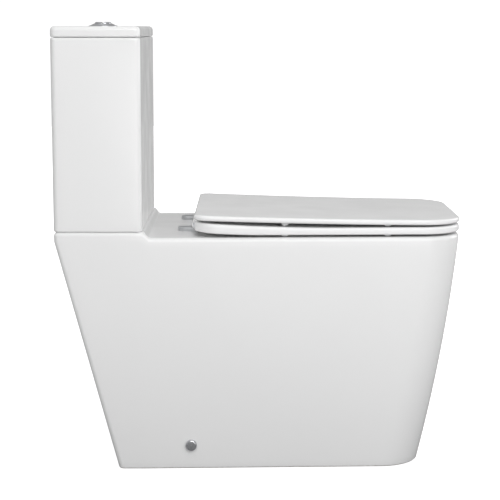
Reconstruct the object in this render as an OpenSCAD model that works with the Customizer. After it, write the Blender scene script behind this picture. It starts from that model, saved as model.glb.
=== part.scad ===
// Close coupled toilet: floor standing pan, slim seat and lid, box cistern with a dual flush.
// Millimetres. The origin is on the floor at the middle of the body, the front faces -Y, +Z is up.

/* [Pan] */
// Depth from the wall side to the front of the rim
depth = 694; // [680:1:706]
// Width of the pan where the cistern stands
width = 362; // [354:2:372]
// Width of the pan at its front, before the corners are rounded
front_width = 329; // [318:1:340]
// Height of the rim
rim_h = 400; // [400:1:404]
// How much higher the platform under the cistern is than the rim
platform_rise = 10; // [9:1:11]
// Radius of the two front corners, seen from above
front_corner_r = 70; // [50:1:85]
// Radius of the two upright edges at the back
back_corner_r = 9; // [6:1:14]
// Depth lost at the floor by the leaning back edge
back_slant = 106; // [80:1:112]
// Slope of the front face just under the rim
front_lean = 0.10; // [0.06:0.01:0.14]
// How quickly that slope grows towards the floor
front_curve = 0.00018; // [0.0001:0.00001:0.00022]
// Thickness of the ceramic skirt
skirt_wall = 14; // [12:1:16]
// Thickness of the deck behind the bowl
deck_wall = 24; // [22:1:26]
// Height of the outlet's centre above the floor
outlet_h = 180; // [175:1:185]
// Outside diameter of the outlet spigot
outlet_od = 102; // [98:1:110]

/* [Seat] */
// Gap between the rim and the seat
seat_gap = 4.3; // [4:0.1:5]
// Thickness of the seat at its front
seat_t = 12; // [11:0.5:12.5]
// Thickness of the lid
lid_t = 8.8; // [8:0.1:9]
// Distance between the two hinge posts
hinge_spacing = 155; // [150:1:160]
// How far the back edge of the lid lies in front of the cistern
lid_clear = 87; // [85:1:90]

/* [Cistern] */
// Height to the top of the cistern lid
total_h = 753; // [750:1:780]
// Width of the cistern
cistern_w = 360; // [356:2:364]
// Depth of the cistern
cistern_d = 149; // [147:1:151]
// Thickness of the cistern lid
cistern_lid_t = 18; // [17:1:22]
// Thickness of the cistern walls
cistern_wall = 12; // [10:1:13]
// Radius of the cistern's upright edges
cistern_r = 10; // [7:1:13]

/* [Flush button] */
// Diameter of the chrome collar
collar_d = 52; // [48:1:56]
// Height of the buttons above the cistern lid
button_h = 7.5; // [7:0.5:9]

/* [Hidden] */

// Colours
ceramic = [0.93, 0.93, 0.92];
seat_white = [0.95, 0.95, 0.95];
chrome = [0.75, 0.76, 0.78];
steel = [0.62, 0.63, 0.65];
plastic = [0.86, 0.88, 0.9];
blue_plastic = [0.35, 0.5, 0.7];
rubber = [0.16, 0.16, 0.17];

// Fits and small allowances
play = 0.05;
rest_gap = 0.1;
lid_joint = 0.8;
bite = 1;

// Places along the depth
front_y = -depth / 2;
back_y = depth / 2;
cistern_front_y = back_y - cistern_d;
cistern_mid_y = back_y - cistern_d / 2;
platform_front_y = cistern_front_y - 4;
valve_y = cistern_mid_y + 2.5;
lid_back_y = cistern_front_y - lid_clear;
axis_y = lid_back_y - 1;
axis_z = rim_h + 14;
side_fixing_y = 117;
side_fixing_z = 41.5;

// Heights
platform_h = rim_h + platform_rise;
deck_under = rim_h - deck_wall;
cistern_floor_z = platform_h + 14;
cistern_top_z = total_h - cistern_lid_t;
cistern_rim_z = cistern_top_z - lid_joint;

// Half the width of the pan at a given depth
taper = (width - front_width) / 2 / (cistern_front_y - front_y);
function half_width(y) = width / 2 - taper * max(0, cistern_front_y - y);

// Front and back of the pan at a given height
function drop(z) = max(0, rim_h - z);
function pan_front(z) = front_y + front_lean * drop(z) + front_curve * pow(drop(z), 2);
back_break_z = rim_h - 5;
function pan_back(z) = back_y - back_slant * max(0, back_break_z - z) / back_break_z;

// Outline seen from above: two round front corners, tapering sides, two small back corners
corner_steps = 9;
back_steps = 3;
function half_outline(front, back, inset, front_r, back_r) = let (
    cy = front + front_r,
    cx = half_width(cy) - inset - front_r,
    bx = width / 2 - inset - back_r
) concat(
    [for (i = [0 : corner_steps]) let (a = -90 + 90 * i / corner_steps)
        [cx + front_r * cos(a), cy + front_r * sin(a)]],
    [[width / 2 - inset, cistern_front_y]],
    [for (i = [0 : back_steps]) let (a = 90 * i / back_steps)
        [bx + back_r * cos(a), back - back_r + back_r * sin(a)]]
);
function mirrored(points) = [for (i = [len(points) - 1 : -1 : 0]) [-points[i][0], points[i][1]]];
function outline(front, back, inset, front_r, back_r) = let (
    side = half_outline(front, back, inset, front_r, back_r)
) concat(side, mirrored(side));

// A smooth skin through a stack of outlines that all have the same number of points
module loft(rings, heights) {
    n = len(rings[0]);
    m = len(rings);
    points = [for (k = [0 : m - 1]) for (p = rings[k]) [p[0], p[1], heights[k]]];
    walls = [for (k = [0 : m - 2]) for (i = [0 : n - 1]) let (
        a = k * n + i, b = k * n + (i + 1) % n, c = a + n, d = b + n
    ) each [[a, c, d], [a, d, b]]];
    floor_face = [for (i = [0 : n - 1]) i];
    top_face = [for (i = [n - 1 : -1 : 0]) (m - 1) * n + i];
    polyhedron(points = points, faces = concat(walls, [floor_face, top_face]), convexity = 6);
}

// Bowl sections from the sump up: height under the rim, half width, half length, centre
bowl_mid_y = front_y + 230;
bowl_sections = [
    [296, 22, 24, 21], [275, 40, 44, 21], [240, 50, 66, 21], [202, 62, 92, 19], [160, 80, 118, 13],
    [110, 102, 146, 7], [60, 119, 168, 2], [16, 127, 179, 0], [-20, 127, 179, 0]
];
bowl_steps = 32;
function oval(half_w, half_l, mid_y, squareness) = [for (i = [0 : bowl_steps - 1]) let (
    a = 360 * i / bowl_steps, c = cos(a), s = sin(a), e = 2 / squareness
) [half_w * sign(c) * pow(abs(c), e), mid_y + half_l * sign(s) * pow(abs(s), e)]];
function bowl_ring(section, grow) =
    oval(section[1] + grow, section[2] + grow, bowl_mid_y + section[3], 2.6 - section[0] / 500);

module bowl_hollow() {
    loft([for (s = bowl_sections) bowl_ring(s, 0)], [for (s = bowl_sections) rim_h - s[0]]);
}

module bowl_body() {
    last = len(bowl_sections) - 2;
    loft([for (k = [0 : last]) bowl_ring(bowl_sections[k], 12)],
        [for (k = [0 : last]) rim_h - bowl_sections[k][0] - (k == 0 ? 12 : k == 1 ? 6 : 0)]);
}

// Trapway: a pipe that dips, climbs over the weir and falls to the outlet, in the middle plane
trap_r = 32;
trap_wall = 10;
dip_bend = 70;
weir_bend = 60;
dip = [-55, outlet_h + 5];
rise_a = 60;
fall_a = -40;
weir = [86.5, outlet_h - 10];
last_bend = [189.9, outlet_h + weir_bend];
spigot_start_y = 186;
bend_steps = 7;
pipe_sides = 20;

// Stations along the pipe: depth, height and direction of travel
function bend_stations(centre, r, from, to) = [for (i = [0 : bend_steps]) let (
    a = from + (to - from) * i / bend_steps,
    side = to > from ? 1 : -1
) [centre[0] + side * r * sin(a), centre[1] - side * r * cos(a), a]];
trap_line = concat(
    bend_stations(dip, dip_bend, fall_a, rise_a),
    bend_stations(weir, weir_bend, rise_a, fall_a),
    bend_stations(last_bend, weir_bend, fall_a, 0),
    [[last_bend[0] + 20, outlet_h, 0]]
);

module trapway(r) {
    count = len(trap_line);
    points = [for (s = trap_line) for (j = [0 : pipe_sides - 1]) let (a = 360 * j / pipe_sides)
        [r * cos(a), s[0] - r * sin(a) * sin(s[2]), s[1] + r * sin(a) * cos(s[2])]];
    walls = [for (k = [0 : count - 2]) for (j = [0 : pipe_sides - 1]) let (
        a = k * pipe_sides + j,
        b = k * pipe_sides + (j + 1) % pipe_sides,
        c = a + pipe_sides,
        d = b + pipe_sides
    ) each [[a, d, c], [a, b, d]]];
    start = [for (j = [pipe_sides - 1 : -1 : 0]) j];
    finish = [for (j = [0 : pipe_sides - 1]) (count - 1) * pipe_sides + j];
    polyhedron(points = points, faces = concat(walls, [start, finish]), convexity = 8);
}

// Outlet spigot, level, inside the recess at the back
spigot_end_y = 282;
module spigot(r, from_y, to_y) {
    translate([0, from_y, outlet_h])
    rotate([-90, 0, 0])
    cylinder(r = r, h = to_y - from_y, $fn = 64);
}

// Flush inlet under the cistern, and the duct that takes the water forward to the bowl
inlet_boss_r = 56;
inlet_seat_r = 46.5;
inlet_throat_r = 30;
inlet_seat_z = platform_h - 24;
duct_top_z = deck_under - 2;
duct_bottom_z = duct_top_z - 20;
duct_half_w = 28;
duct_wall = 10;
bowl_back_y = bowl_mid_y + 172;

module duct_outside() {
    translate([-duct_half_w - duct_wall, bowl_back_y, duct_bottom_z - duct_wall])
        cube([2 * (duct_half_w + duct_wall), valve_y - bowl_back_y,
              duct_top_z - duct_bottom_z + 2 * duct_wall]);
    translate([0, valve_y, duct_bottom_z - duct_wall])
        cylinder(r = inlet_boss_r, h = rim_h - duct_bottom_z + duct_wall - 5, $fn = 64);
}

module duct_inside() {
    translate([-duct_half_w, bowl_back_y - 40, duct_bottom_z])
        cube([2 * duct_half_w, valve_y - bowl_back_y + 40, duct_top_z - duct_bottom_z]);
    translate([0, valve_y, duct_bottom_z])
        cylinder(r = inlet_throat_r, h = 60, $fn = 64);
    translate([0, valve_y, inlet_seat_z])
        cylinder(r = inlet_seat_r, h = 60, $fn = 64);
}

// Holes through the deck
hinge_x = hinge_spacing / 2;
stud_y = axis_y + 18;
bolt_x = 75;
inlet_x = 125;
slot_half_w = 28;

module both_sides() {
    children();
    mirror([1, 0, 0]) children();
}

module deck_holes() {
    both_sides() {
        translate([hinge_x, stud_y, deck_under - 5]) cylinder(r = 7, h = deck_wall + 30, $fn = 48);
        translate([bolt_x, valve_y, deck_under - 5]) cylinder(r = 6, h = deck_wall + 30, $fn = 48);
        translate([inlet_x, valve_y, deck_under - 5])
            cylinder(r = slot_half_w, h = deck_wall + 30, $fn = 64);
        translate([inlet_x - slot_half_w, valve_y, deck_under - 5])
            cube([2 * slot_half_w, cistern_d, deck_wall + 30]);
    }
}

module side_holes() {
    both_sides()
        translate([half_width(side_fixing_y) - 30, side_fixing_y, side_fixing_z])
        rotate([0, 90, 0])
        cylinder(r = 4.5, h = 60, $fn = 40);
}

pan_steps = [0, 60, 120, 180, 240, 300, 350, back_break_z, platform_h];
module pan_skirt() {
    loft([for (z = pan_steps) outline(pan_front(z), pan_back(z), 0, front_corner_r, back_corner_r)],
        pan_steps);
}

module pan_cavity() {
    steps = [-1, 60, 120, 180, 240, 300, deck_under];
    loft([for (z = steps) outline(pan_front(z) + skirt_wall + 2, back_y + 60, skirt_wall,
        front_corner_r - skirt_wall, back_corner_r)], steps);
}

module pan() {
    color(ceramic)
    difference() {
        union() {
            difference() {
                pan_skirt();
                pan_cavity();
                translate([-width, front_y - 50, rim_h])
                    cube([2 * width, platform_front_y - front_y + 50, 50]);
            }
            bowl_body();
            trapway(trap_r + trap_wall);
            spigot(outlet_od / 2, spigot_start_y, spigot_end_y);
            duct_outside();
        }
        bowl_hollow();
        trapway(trap_r);
        spigot(outlet_od / 2 - 7, spigot_start_y + 12, spigot_end_y + 5);
        duct_inside();
        deck_holes();
        side_holes();
    }
}

// Fixing to the floor
bracket_t = 4;
bracket_l = 64;
bracket_face_x = half_width(side_fixing_y) - skirt_wall - 1.5;
bracket_foot = 40;
bracket_hole_x = bracket_face_x - 25;
bracket_hole_y = 22;

module floor_bracket() {
    difference() {
        union() {
            translate([bracket_face_x - bracket_t, side_fixing_y - bracket_l / 2, 0])
                cube([bracket_t, bracket_l, 58]);
            translate([bracket_face_x - bracket_foot, side_fixing_y - bracket_l / 2, 0])
                cube([bracket_foot, bracket_l, bracket_t]);
            translate([bracket_face_x - 16, side_fixing_y, side_fixing_z])
                rotate([0, 90, 0]) cylinder(r = 9, h = 14, $fn = 40);
            for (side = [-1, 1])
                translate([bracket_face_x - 20, side_fixing_y + side * (bracket_l / 2 - 2) - 2, 0])
                    cube([18, 4, 30]);
        }
        translate([bracket_face_x - 30, side_fixing_y, side_fixing_z])
            rotate([0, 90, 0]) cylinder(r = 3 + play, h = 40, $fn = 32);
        for (side = [-1, 1])
            translate([bracket_hole_x, side_fixing_y + side * bracket_hole_y, -1])
                cylinder(r = 3.3, h = 10, $fn = 32);
    }
}

module floor_brackets() {
    color(plastic) both_sides() floor_bracket();
}

cap_base_x = half_width(side_fixing_y) + 0.4;
module side_fixing_screws() {
    color(steel) both_sides()
    translate([cap_base_x, side_fixing_y, side_fixing_z])
    rotate([0, 90, 0]) {
        translate([0, 0, -32]) cylinder(r = 3, h = 32 + bite, $fn = 32);
        difference() {
            cylinder(r = 5.5, h = 3.4, $fn = 40);
            translate([0, 0, 1.6]) cylinder(r = 2.5, h = 5, $fn = 6);
        }
    }
}

module side_cap() {
    translate([cap_base_x, side_fixing_y, side_fixing_z])
    rotate([0, 90, 0])
    rotate_extrude($fn = 64)
    polygon(concat(
        [[6.4, 0], [10, 0], [10, 2.4]],
        [for (a = [10 : 10 : 90]) [7.4 + 2.6 * cos(a), 2.4 + 3.1 * sin(a)]],
        [[0, 5.9], [0, 4.1], [6.4, 4.1]]
    ));
}

module side_cap_left() {
    color(chrome) mirror([1, 0, 0]) side_cap();
}

module side_cap_right() {
    color(chrome) side_cap();
}

// Hinges: a plate and a post on each side, with one pin through the post, the seat and the lid
plate_half_w = 12;
plate_front_y = axis_y - 7;
plate_back_y = cistern_front_y - 56;
plate_top_z = rim_h + 7;
post_half_w = 6;
barrel_r = 6.4;
pin_r = 2.5;
pin_half_l = 17.5;
barrel_near = post_half_w + 0.6;
barrel_far = barrel_near + 31;
damper_r = 4.8;
damper_l = 18;

module along_x(x0, x1, r) {
    translate([x0, axis_y, axis_z]) rotate([0, 90, 0]) cylinder(r = r, h = x1 - x0, $fn = 48);
}

module hinge_base() {
    difference() {
        union() {
            translate([hinge_x - plate_half_w, plate_front_y, rim_h])
                cube([2 * plate_half_w, plate_back_y - plate_half_w - plate_front_y,
                      plate_top_z - rim_h]);
            translate([hinge_x, plate_back_y - plate_half_w, rim_h])
                cylinder(r = plate_half_w, h = plate_top_z - rim_h, $fn = 64);
            translate([hinge_x - post_half_w, axis_y - 6, plate_top_z - bite])
                cube([2 * post_half_w, 12, axis_z - plate_top_z + bite]);
            along_x(hinge_x - post_half_w, hinge_x + post_half_w, barrel_r);
        }
        along_x(hinge_x - 20, hinge_x + 20, pin_r + play);
        translate([hinge_x, stud_y, rim_h - 1]) cylinder(r = 4 + play, h = 6, $fn = 40);
    }
}

module hinge_base_left() {
    color(chrome) mirror([1, 0, 0]) hinge_base();
}

module hinge_base_right() {
    color(chrome) hinge_base();
}

module hinge_studs() {
    color(steel) both_sides()
    translate([hinge_x, stud_y, rim_h - 62]) cylinder(r = 4, h = 66, $fn = 40);
}

module hinge_cone_washers() {
    color(rubber) both_sides()
    translate([hinge_x, stud_y, deck_under - 8])
    difference() {
        union() {
            cylinder(r = 13, h = 8, $fn = 48);
            translate([0, 0, 8]) cylinder(r1 = 6.8, r2 = 5, h = 10, $fn = 48);
        }
        translate([0, 0, -1]) cylinder(r = 4 + play, h = 30, $fn = 40);
    }
}

module wing_nut(hub_r, span, h) {
    difference() {
        union() {
            cylinder(r = hub_r, h = h, $fn = 40);
            translate([-span / 2, -2, 0]) cube([span, 4, h - 3]);
        }
        translate([0, 0, -1]) cylinder(r = 4 + play, h = h + 2, $fn = 40);
    }
}

module hinge_wing_nuts() {
    color(plastic) both_sides()
    translate([hinge_x, stud_y, deck_under - 23]) wing_nut(8, 34, 15);
}

module hinge_pins() {
    color(steel) both_sides() along_x(hinge_x - pin_half_l, hinge_x + pin_half_l, pin_r);
}

// A soft-close damper in the outer end of a barrel
module damper(x_far, toward) {
    x0 = x_far - toward * damper_l;
    along_x(min(x0, x_far), max(x0, x_far), damper_r);
}

seat_barrel_near = hinge_x - barrel_near;
seat_barrel_far = hinge_x - barrel_far;
lid_barrel_near = hinge_x + barrel_near;
lid_barrel_far = hinge_x + barrel_far;

// Seat: a slim ring whose top climbs gently towards the hinge and whose underside lifts behind its middle
seat_bottom_z = rim_h + seat_gap;
seat_lift = 5;
seat_lift_y = -11;
seat_lift_length = 116;
function seat_bottom(y) = seat_bottom_z + seat_lift * pow(max(0, y - seat_lift_y) / seat_lift_length, 2);
seat_back_y = lid_back_y + 4;
seat_climb = 0.00015;
seat_climb_y = -140;
function seat_top(y) = seat_bottom_z + seat_t + seat_climb * pow(max(0, y - seat_climb_y), 2);
seat_back_r = 42;
lid_back_r = 22;

function lid_plan(inset, back, back_r) = let (
    cy = front_y + front_corner_r,
    cx = half_width(cy) - inset - front_corner_r,
    bx = half_width(back) - inset - back_r,
    side = concat(
        [for (i = [0 : 2 * corner_steps]) let (a = -90 + 90 * i / (2 * corner_steps))
            [cx + (front_corner_r - inset) * cos(a), cy + (front_corner_r - inset) * sin(a)]],
        [for (i = [0 : 2 * back_steps]) let (a = 90 * i / (2 * back_steps))
            [bx + back_r * cos(a), back - back_r + back_r * sin(a)]]
    )
) concat(side, mirrored(side));

// A plate between two height curves, drawn from the side and carried across the width
profile_steps = 12;
module side_profile(low_z, high_z, back) {
    ys = [for (i = [0 : profile_steps]) front_y + (back - front_y) * i / profile_steps];
    rotate([90, 0, 90])
    translate([0, 0, -width])
    linear_extrude(2 * width)
    polygon(concat(
        [for (i = [0 : profile_steps]) [ys[i], low_z[i]]],
        [for (i = [profile_steps : -1 : 0]) [ys[i], high_z[i]]]
    ));
}

module seat_blank() {
    ys = [for (i = [0 : profile_steps]) front_y + (seat_back_y - front_y) * i / profile_steps];
    intersection() {
        translate([0, 0, rim_h]) linear_extrude(60) polygon(lid_plan(0.5, seat_back_y, seat_back_r));
        side_profile([for (y = ys) seat_bottom(y)], [for (y = ys) min(seat_top(y), rim_h + 25)],
                     seat_back_y);
    }
}

seat_hole_mid_y = bowl_mid_y + 4;
seat_hole_half_w = 112;
seat_hole_half_l = 146;
notch_near = hinge_x - barrel_far - 2;
notch_far = hinge_x + barrel_far + 2;
notch_front_y = axis_y - 9;

module seat_ring() {
    color(seat_white)
    difference() {
        union() {
            difference() {
                seat_blank();
                both_sides()
                    translate([notch_near, notch_front_y, rim_h])
                    cube([notch_far - notch_near, 60, 60]);
                translate([0, 0, rim_h])
                    linear_extrude(60)
                    polygon(oval(seat_hole_half_w, seat_hole_half_l, seat_hole_mid_y, 2.5));
            }
            both_sides() {
                translate([seat_barrel_far, notch_front_y - bite, axis_z - 5])
                    cube([seat_barrel_near - seat_barrel_far, axis_y - notch_front_y + bite, 10]);
                along_x(seat_barrel_far, seat_barrel_near, barrel_r);
            }
        }
        both_sides() {
            along_x(seat_barrel_near - 13, seat_barrel_near + 1, pin_r + play);
            along_x(seat_barrel_far - 1, seat_barrel_far + damper_l, damper_r + play);
        }
    }
}

// Rubber buffers under the seat and under the lid, at two depths
buffer_back_y = -43;
buffer_front_y = -218;
buffer_half_l = 6.5;
buffer_half_w = 4;

module buffer(x, y, z0, z1) {
    translate([x, y, z0])
    linear_extrude(z1 - z0)
    union() {
        square([2 * buffer_half_w, 2 * (buffer_half_l - buffer_half_w)], center = true);
        for (side = [-1, 1])
            translate([0, side * (buffer_half_l - buffer_half_w)]) circle(r = buffer_half_w, $fn = 32);
    }
}

module seat_buffers() {
    color(rubber) both_sides()
    for (y = [buffer_back_y, buffer_front_y])
        buffer(half_width(y) - 14, y, rim_h + rest_gap, seat_bottom_z);
}

module seat_dampers() {
    color(steel) both_sides() damper(seat_barrel_far, -1);
}

// Lid: a thin plate that slopes down to the front, over the whole seat
lid_slope = 0.0385;
lid_ease = 0.0000366;
lid_back_z = rim_h + 38.3;
function lid_top(y) = lid_back_z - lid_slope * (lid_back_y - y) + lid_ease * pow(lid_back_y - y, 2);

module seat_lid() {
    ys = [for (i = [0 : profile_steps]) front_y + (lid_back_y - front_y) * i / profile_steps];
    web_y = 5;
    color(seat_white)
    difference() {
        union() {
            intersection() {
                translate([0, 0, rim_h]) linear_extrude(60) polygon(lid_plan(0, lid_back_y, lid_back_r));
                side_profile([for (y = ys) lid_top(y) - lid_t], [for (y = ys) lid_top(y)], lid_back_y);
            }
            both_sides() {
                translate([lid_barrel_near, axis_y - web_y, axis_z])
                    cube([lid_barrel_far - lid_barrel_near, web_y + 1,
                          lid_back_z - lid_t - axis_z + 0.5]);
                along_x(lid_barrel_near, lid_barrel_far, barrel_r);
            }
        }
        both_sides() {
            along_x(lid_barrel_near - 1, lid_barrel_near + 13, pin_r + play);
            along_x(lid_barrel_far - damper_l, lid_barrel_far + 1, damper_r + play);
        }
    }
}

module seat_lid_buffers() {
    color(rubber) both_sides()
    for (y = [buffer_back_y, buffer_front_y])
        buffer(half_width(y) - 16, y, seat_top(y) + 0.3, lid_top(y) - lid_t - 0.3);
}

module seat_lid_dampers() {
    color(steel) both_sides() damper(lid_barrel_far, 1);
}

// Cistern: an open box with outlet, bolt, inlet and wall holes
module rounded_box(w, d, h, r) {
    linear_extrude(h)
    union() {
        square([w - 2 * r, d], center = true);
        square([w, d - 2 * r], center = true);
        for (sx = [-1, 1]) for (sy = [-1, 1])
            translate([sx * (w / 2 - r), sy * (d / 2 - r)]) circle(r = r, $fn = 48);
    }
}

wall_hole_x = 130;
wall_hole_z = cistern_rim_z - 32;
cavity_w = cistern_w - 2 * cistern_wall;
cavity_d = cistern_d - 2 * cistern_wall;

module cistern() {
    color(ceramic)
    difference() {
        translate([0, cistern_mid_y, platform_h])
            rounded_box(cistern_w, cistern_d, cistern_rim_z - platform_h, cistern_r);
        translate([0, cistern_mid_y, cistern_floor_z])
            rounded_box(cavity_w, cavity_d, total_h, 6);
        translate([0, valve_y, platform_h - 5]) cylinder(r = 30, h = 40, $fn = 64);
        both_sides() {
            translate([bolt_x, valve_y, platform_h - 5]) cylinder(r = 5.5, h = 40, $fn = 40);
            translate([inlet_x, valve_y, platform_h - 5]) cylinder(r = 12, h = 40, $fn = 48);
            translate([wall_hole_x, back_y - 30, wall_hole_z])
                rotate([-90, 0, 0]) cylinder(r = 4.5, h = 60, $fn = 40);
        }
    }
}

// Coupling between the cistern and the pan
module coupling_gasket() {
    color(rubber)
    translate([0, valve_y, 0])
    rotate_extrude($fn = 64)
    polygon([
        [28.8, inlet_seat_z], [45.8, inlet_seat_z], [45.8, platform_h - 0.2],
        [41, platform_h - 0.2], [41, platform_h - 12.2], [28.8, platform_h - 12.2]
    ]);
}

module cistern_bolts() {
    color(steel) both_sides()
    translate([bolt_x, valve_y, 0]) {
        translate([0, 0, deck_under - 32])
            cylinder(r = 4, h = cistern_floor_z - deck_under + 38, $fn = 40);
        difference() {
            translate([0, 0, cistern_floor_z + 3]) cylinder(r = 10.5, h = 5, $fn = 48);
            translate([-12, -1, cistern_floor_z + 6]) cube([24, 2, 5]);
        }
    }
}

module cistern_bolt_seals() {
    color(rubber) both_sides()
    translate([bolt_x, valve_y, cistern_floor_z])
    difference() {
        cylinder(r = 13, h = 3, $fn = 48);
        translate([0, 0, -1]) cylinder(r = 4 + play, h = 9, $fn = 40);
    }
}

module cistern_bolt_washers() {
    color(steel) both_sides()
    translate([bolt_x, valve_y, deck_under - 2])
    difference() {
        cylinder(r = 14, h = 2, $fn = 48);
        translate([0, 0, -1]) cylinder(r = 4 + play, h = 9, $fn = 40);
    }
}

module cistern_wing_nuts() {
    color(plastic) both_sides()
    translate([bolt_x, valve_y, deck_under - 17]) rotate([0, 0, 90]) wing_nut(8, 34, 15);
}

// Flush valve
seat_lip_z = cistern_floor_z + 12;
module flush_valve_base() {
    color(plastic)
    translate([0, valve_y, 0])
    rotate_extrude($fn = 64)
    polygon([
        [24, inlet_seat_z + 2], [28.5, inlet_seat_z + 2], [28.5, cistern_floor_z + 2],
        [40, cistern_floor_z + 2], [40, cistern_floor_z + 6], [31, cistern_floor_z + 6],
        [31, seat_lip_z - 1], [28, seat_lip_z], [26, seat_lip_z], [24, seat_lip_z - 3]
    ]);
}

module ring(outer_r, inner_r, z0, z1) {
    translate([0, 0, z0])
    difference() {
        cylinder(r = outer_r, h = z1 - z0, $fn = 64);
        translate([0, 0, -1]) cylinder(r = inner_r, h = z1 - z0 + 2, $fn = 64);
    }
}

module flush_valve_washer() {
    color(rubber) translate([0, valve_y, 0]) ring(40, 28.6, cistern_floor_z, cistern_floor_z + 2);
}

module flush_valve_backnut() {
    color(plastic)
    translate([0, valve_y, platform_h - 11.8])
    difference() {
        cylinder(r = 40, h = 11.8, $fn = 8);
        translate([0, 0, -1]) cylinder(r = 28.5 + play, h = 20, $fn = 64);
    }
}

tower_shelf_z = cistern_floor_z + 132;
sleeve_top_z = cistern_floor_z + 216;
rocker_z = sleeve_top_z + 36;
rocker_x = -10;
cheek_y = 17;

module flush_valve_tower() {
    color(blue_plastic)
    translate([0, valve_y, 0]) {
        ring(38, 31.2, cistern_floor_z + 6.2, cistern_floor_z + 18);
        for (a = [45 : 90 : 315])
            rotate([0, 0, a])
            translate([32, -5, cistern_floor_z + 12])
            cube([5, 10, tower_shelf_z - cistern_floor_z - 10]);
        ring(38, 16, tower_shelf_z, tower_shelf_z + 4);
        ring(20, 16, tower_shelf_z + 3, sleeve_top_z);
        ring(27, 16, sleeve_top_z - 4, sleeve_top_z);
        for (side = [-1, 1])
            translate([rocker_x - 8, side * cheek_y - 2, sleeve_top_z - bite])
            difference() {
                cube([20, 4, rocker_z - sleeve_top_z + 7]);
                translate([8, -1, rocker_z - sleeve_top_z + bite])
                    rotate([-90, 0, 0]) cylinder(r = 2 + play, h = 6, $fn = 32);
            }
    }
}

hook_z = rocker_z + 3.5;
module flush_lift_tube() {
    color(plastic)
    translate([0, valve_y, 0]) {
        ring(15, 12, seat_lip_z + 1, sleeve_top_z + 12);
        ring(27, 12, seat_lip_z + 4.1, seat_lip_z + 8);
        translate([-44, -4, sleeve_top_z + 6]) cube([30.5, 8, 4]);
        translate([-44, -4, sleeve_top_z + 6]) cube([4, 16, hook_z - sleeve_top_z - 2]);
        translate([-44, 4, hook_z]) cube([14, 8, 4]);
    }
}

module flush_seal() {
    color(rubber) translate([0, valve_y, 0]) ring(29, 15.05, seat_lip_z + 0.1, seat_lip_z + 4);
}

module rocker_pin() {
    color(steel)
    translate([rocker_x, valve_y - cheek_y - 3, rocker_z])
    rotate([-90, 0, 0]) cylinder(r = 2, h = 2 * cheek_y + 6, $fn = 32);
}

module rocker(mid_y, reach) {
    translate([rocker_x, valve_y + mid_y, rocker_z])
    difference() {
        union() {
            translate([-reach, -4, -3]) cube([reach + 18, 8, 6]);
            rotate([90, 0, 0]) cylinder(r = 5, h = 8, center = true, $fn = 40);
        }
        rotate([90, 0, 0]) cylinder(r = 2 + play, h = 10, center = true, $fn = 32);
    }
}

rod_y = 8;
module full_flush_rocker() {
    color(blue_plastic) rocker(rod_y, 26);
}

module half_flush_rocker() {
    color(blue_plastic) rocker(-rod_y, 26);
}

// Fill valve: threaded shank, stand pipe and head, with a float that slides on the pipe
fill_x = -inlet_x;
shank_r = 10.478;
neck_r = 11.4;
shank_bottom_z = deck_under - 6;
neck_z = platform_h - 10;
head_z = cistern_floor_z + 216;
lever_z = head_z + 36;
lever_pivot_x = -18;
lever_l = 45;

module at_fill_valve() {
    translate([fill_x, valve_y, 0]) children();
}

module fill_valve_body() {
    color(plastic)
    at_fill_valve() {
        difference() {
            union() {
                translate([0, 0, shank_bottom_z])
                    cylinder(r = shank_r, h = neck_z - shank_bottom_z, $fn = 64);
                translate([0, 0, neck_z])
                    cylinder(r = neck_r, h = cistern_floor_z + 4 - neck_z, $fn = 64);
                translate([0, 0, cistern_floor_z + 2]) cylinder(r = 17, h = 4, $fn = 64);
                translate([0, 0, cistern_floor_z + 5])
                    cylinder(r = 11, h = head_z - cistern_floor_z, $fn = 64);
                translate([0, 0, head_z]) cylinder(r = 20, h = 26, $fn = 64);
                for (side = [-1, 1])
                    translate([lever_pivot_x - 5, side * 7 - 1.5, head_z + 20])
                    cube([10, 3, lever_z - head_z - 14]);
            }
            translate([0, 0, shank_bottom_z - 1]) cylinder(r = 6, h = 250, $fn = 48);
            translate([lever_pivot_x, 0, lever_z])
                rotate([90, 0, 0]) cylinder(r = 1.5 + play, h = 30, center = true, $fn = 32);
        }
    }
}

module fill_valve_washer() {
    color(rubber) at_fill_valve() ring(17, neck_r + play, cistern_floor_z, cistern_floor_z + 2);
}

module fill_valve_backnut() {
    color(plastic)
    at_fill_valve()
    translate([0, 0, platform_h - 9])
    difference() {
        cylinder(r = 18, h = 9, $fn = 6);
        translate([0, 0, -1]) cylinder(r = neck_r + play, h = 20, $fn = 64);
    }
}

outlet_tube_y = 38;
module fill_outlet_tube() {
    color(plastic)
    at_fill_valve()
    difference() {
        union() {
            translate([0, outlet_tube_y, cistern_floor_z + 20])
                cylinder(r = 5, h = head_z + 14 - cistern_floor_z - 20, $fn = 40);
            translate([0, 20, head_z + 9])
                rotate([-90, 0, 0]) cylinder(r = 5, h = outlet_tube_y - 20, $fn = 40);
        }
        translate([0, outlet_tube_y, cistern_floor_z + 19])
            cylinder(r = 3.5, h = head_z - cistern_floor_z - 6, $fn = 40);
    }
}

float_z = head_z - 120;
float_h = 64;
link_x = lever_pivot_x + lever_l;
module fill_float() {
    color(blue_plastic)
    at_fill_valve() {
        difference() {
            translate([0, 0, float_z]) cylinder(r = 30, h = float_h, $fn = 64);
            translate([0, 0, float_z - 1]) cylinder(r = 12, h = float_h + 2, $fn = 64);
            translate([0, 0, float_z - 1]) ring(28, 14, 0, float_h - 2);
        }
        translate([link_x, 0, float_z + float_h - bite])
            cylinder(r = 1.5, h = lever_z - 3.5 - float_z - float_h + bite, $fn = 32);
    }
}

module fill_lever() {
    color(blue_plastic)
    at_fill_valve()
    translate([lever_pivot_x, 0, lever_z])
    difference() {
        union() {
            translate([0, -4, -3]) cube([lever_l + 5, 8, 6]);
            rotate([90, 0, 0]) cylinder(r = 4.5, h = 8, center = true, $fn = 40);
        }
        rotate([90, 0, 0]) cylinder(r = 1.5 + play, h = 10, center = true, $fn = 32);
    }
}

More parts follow.
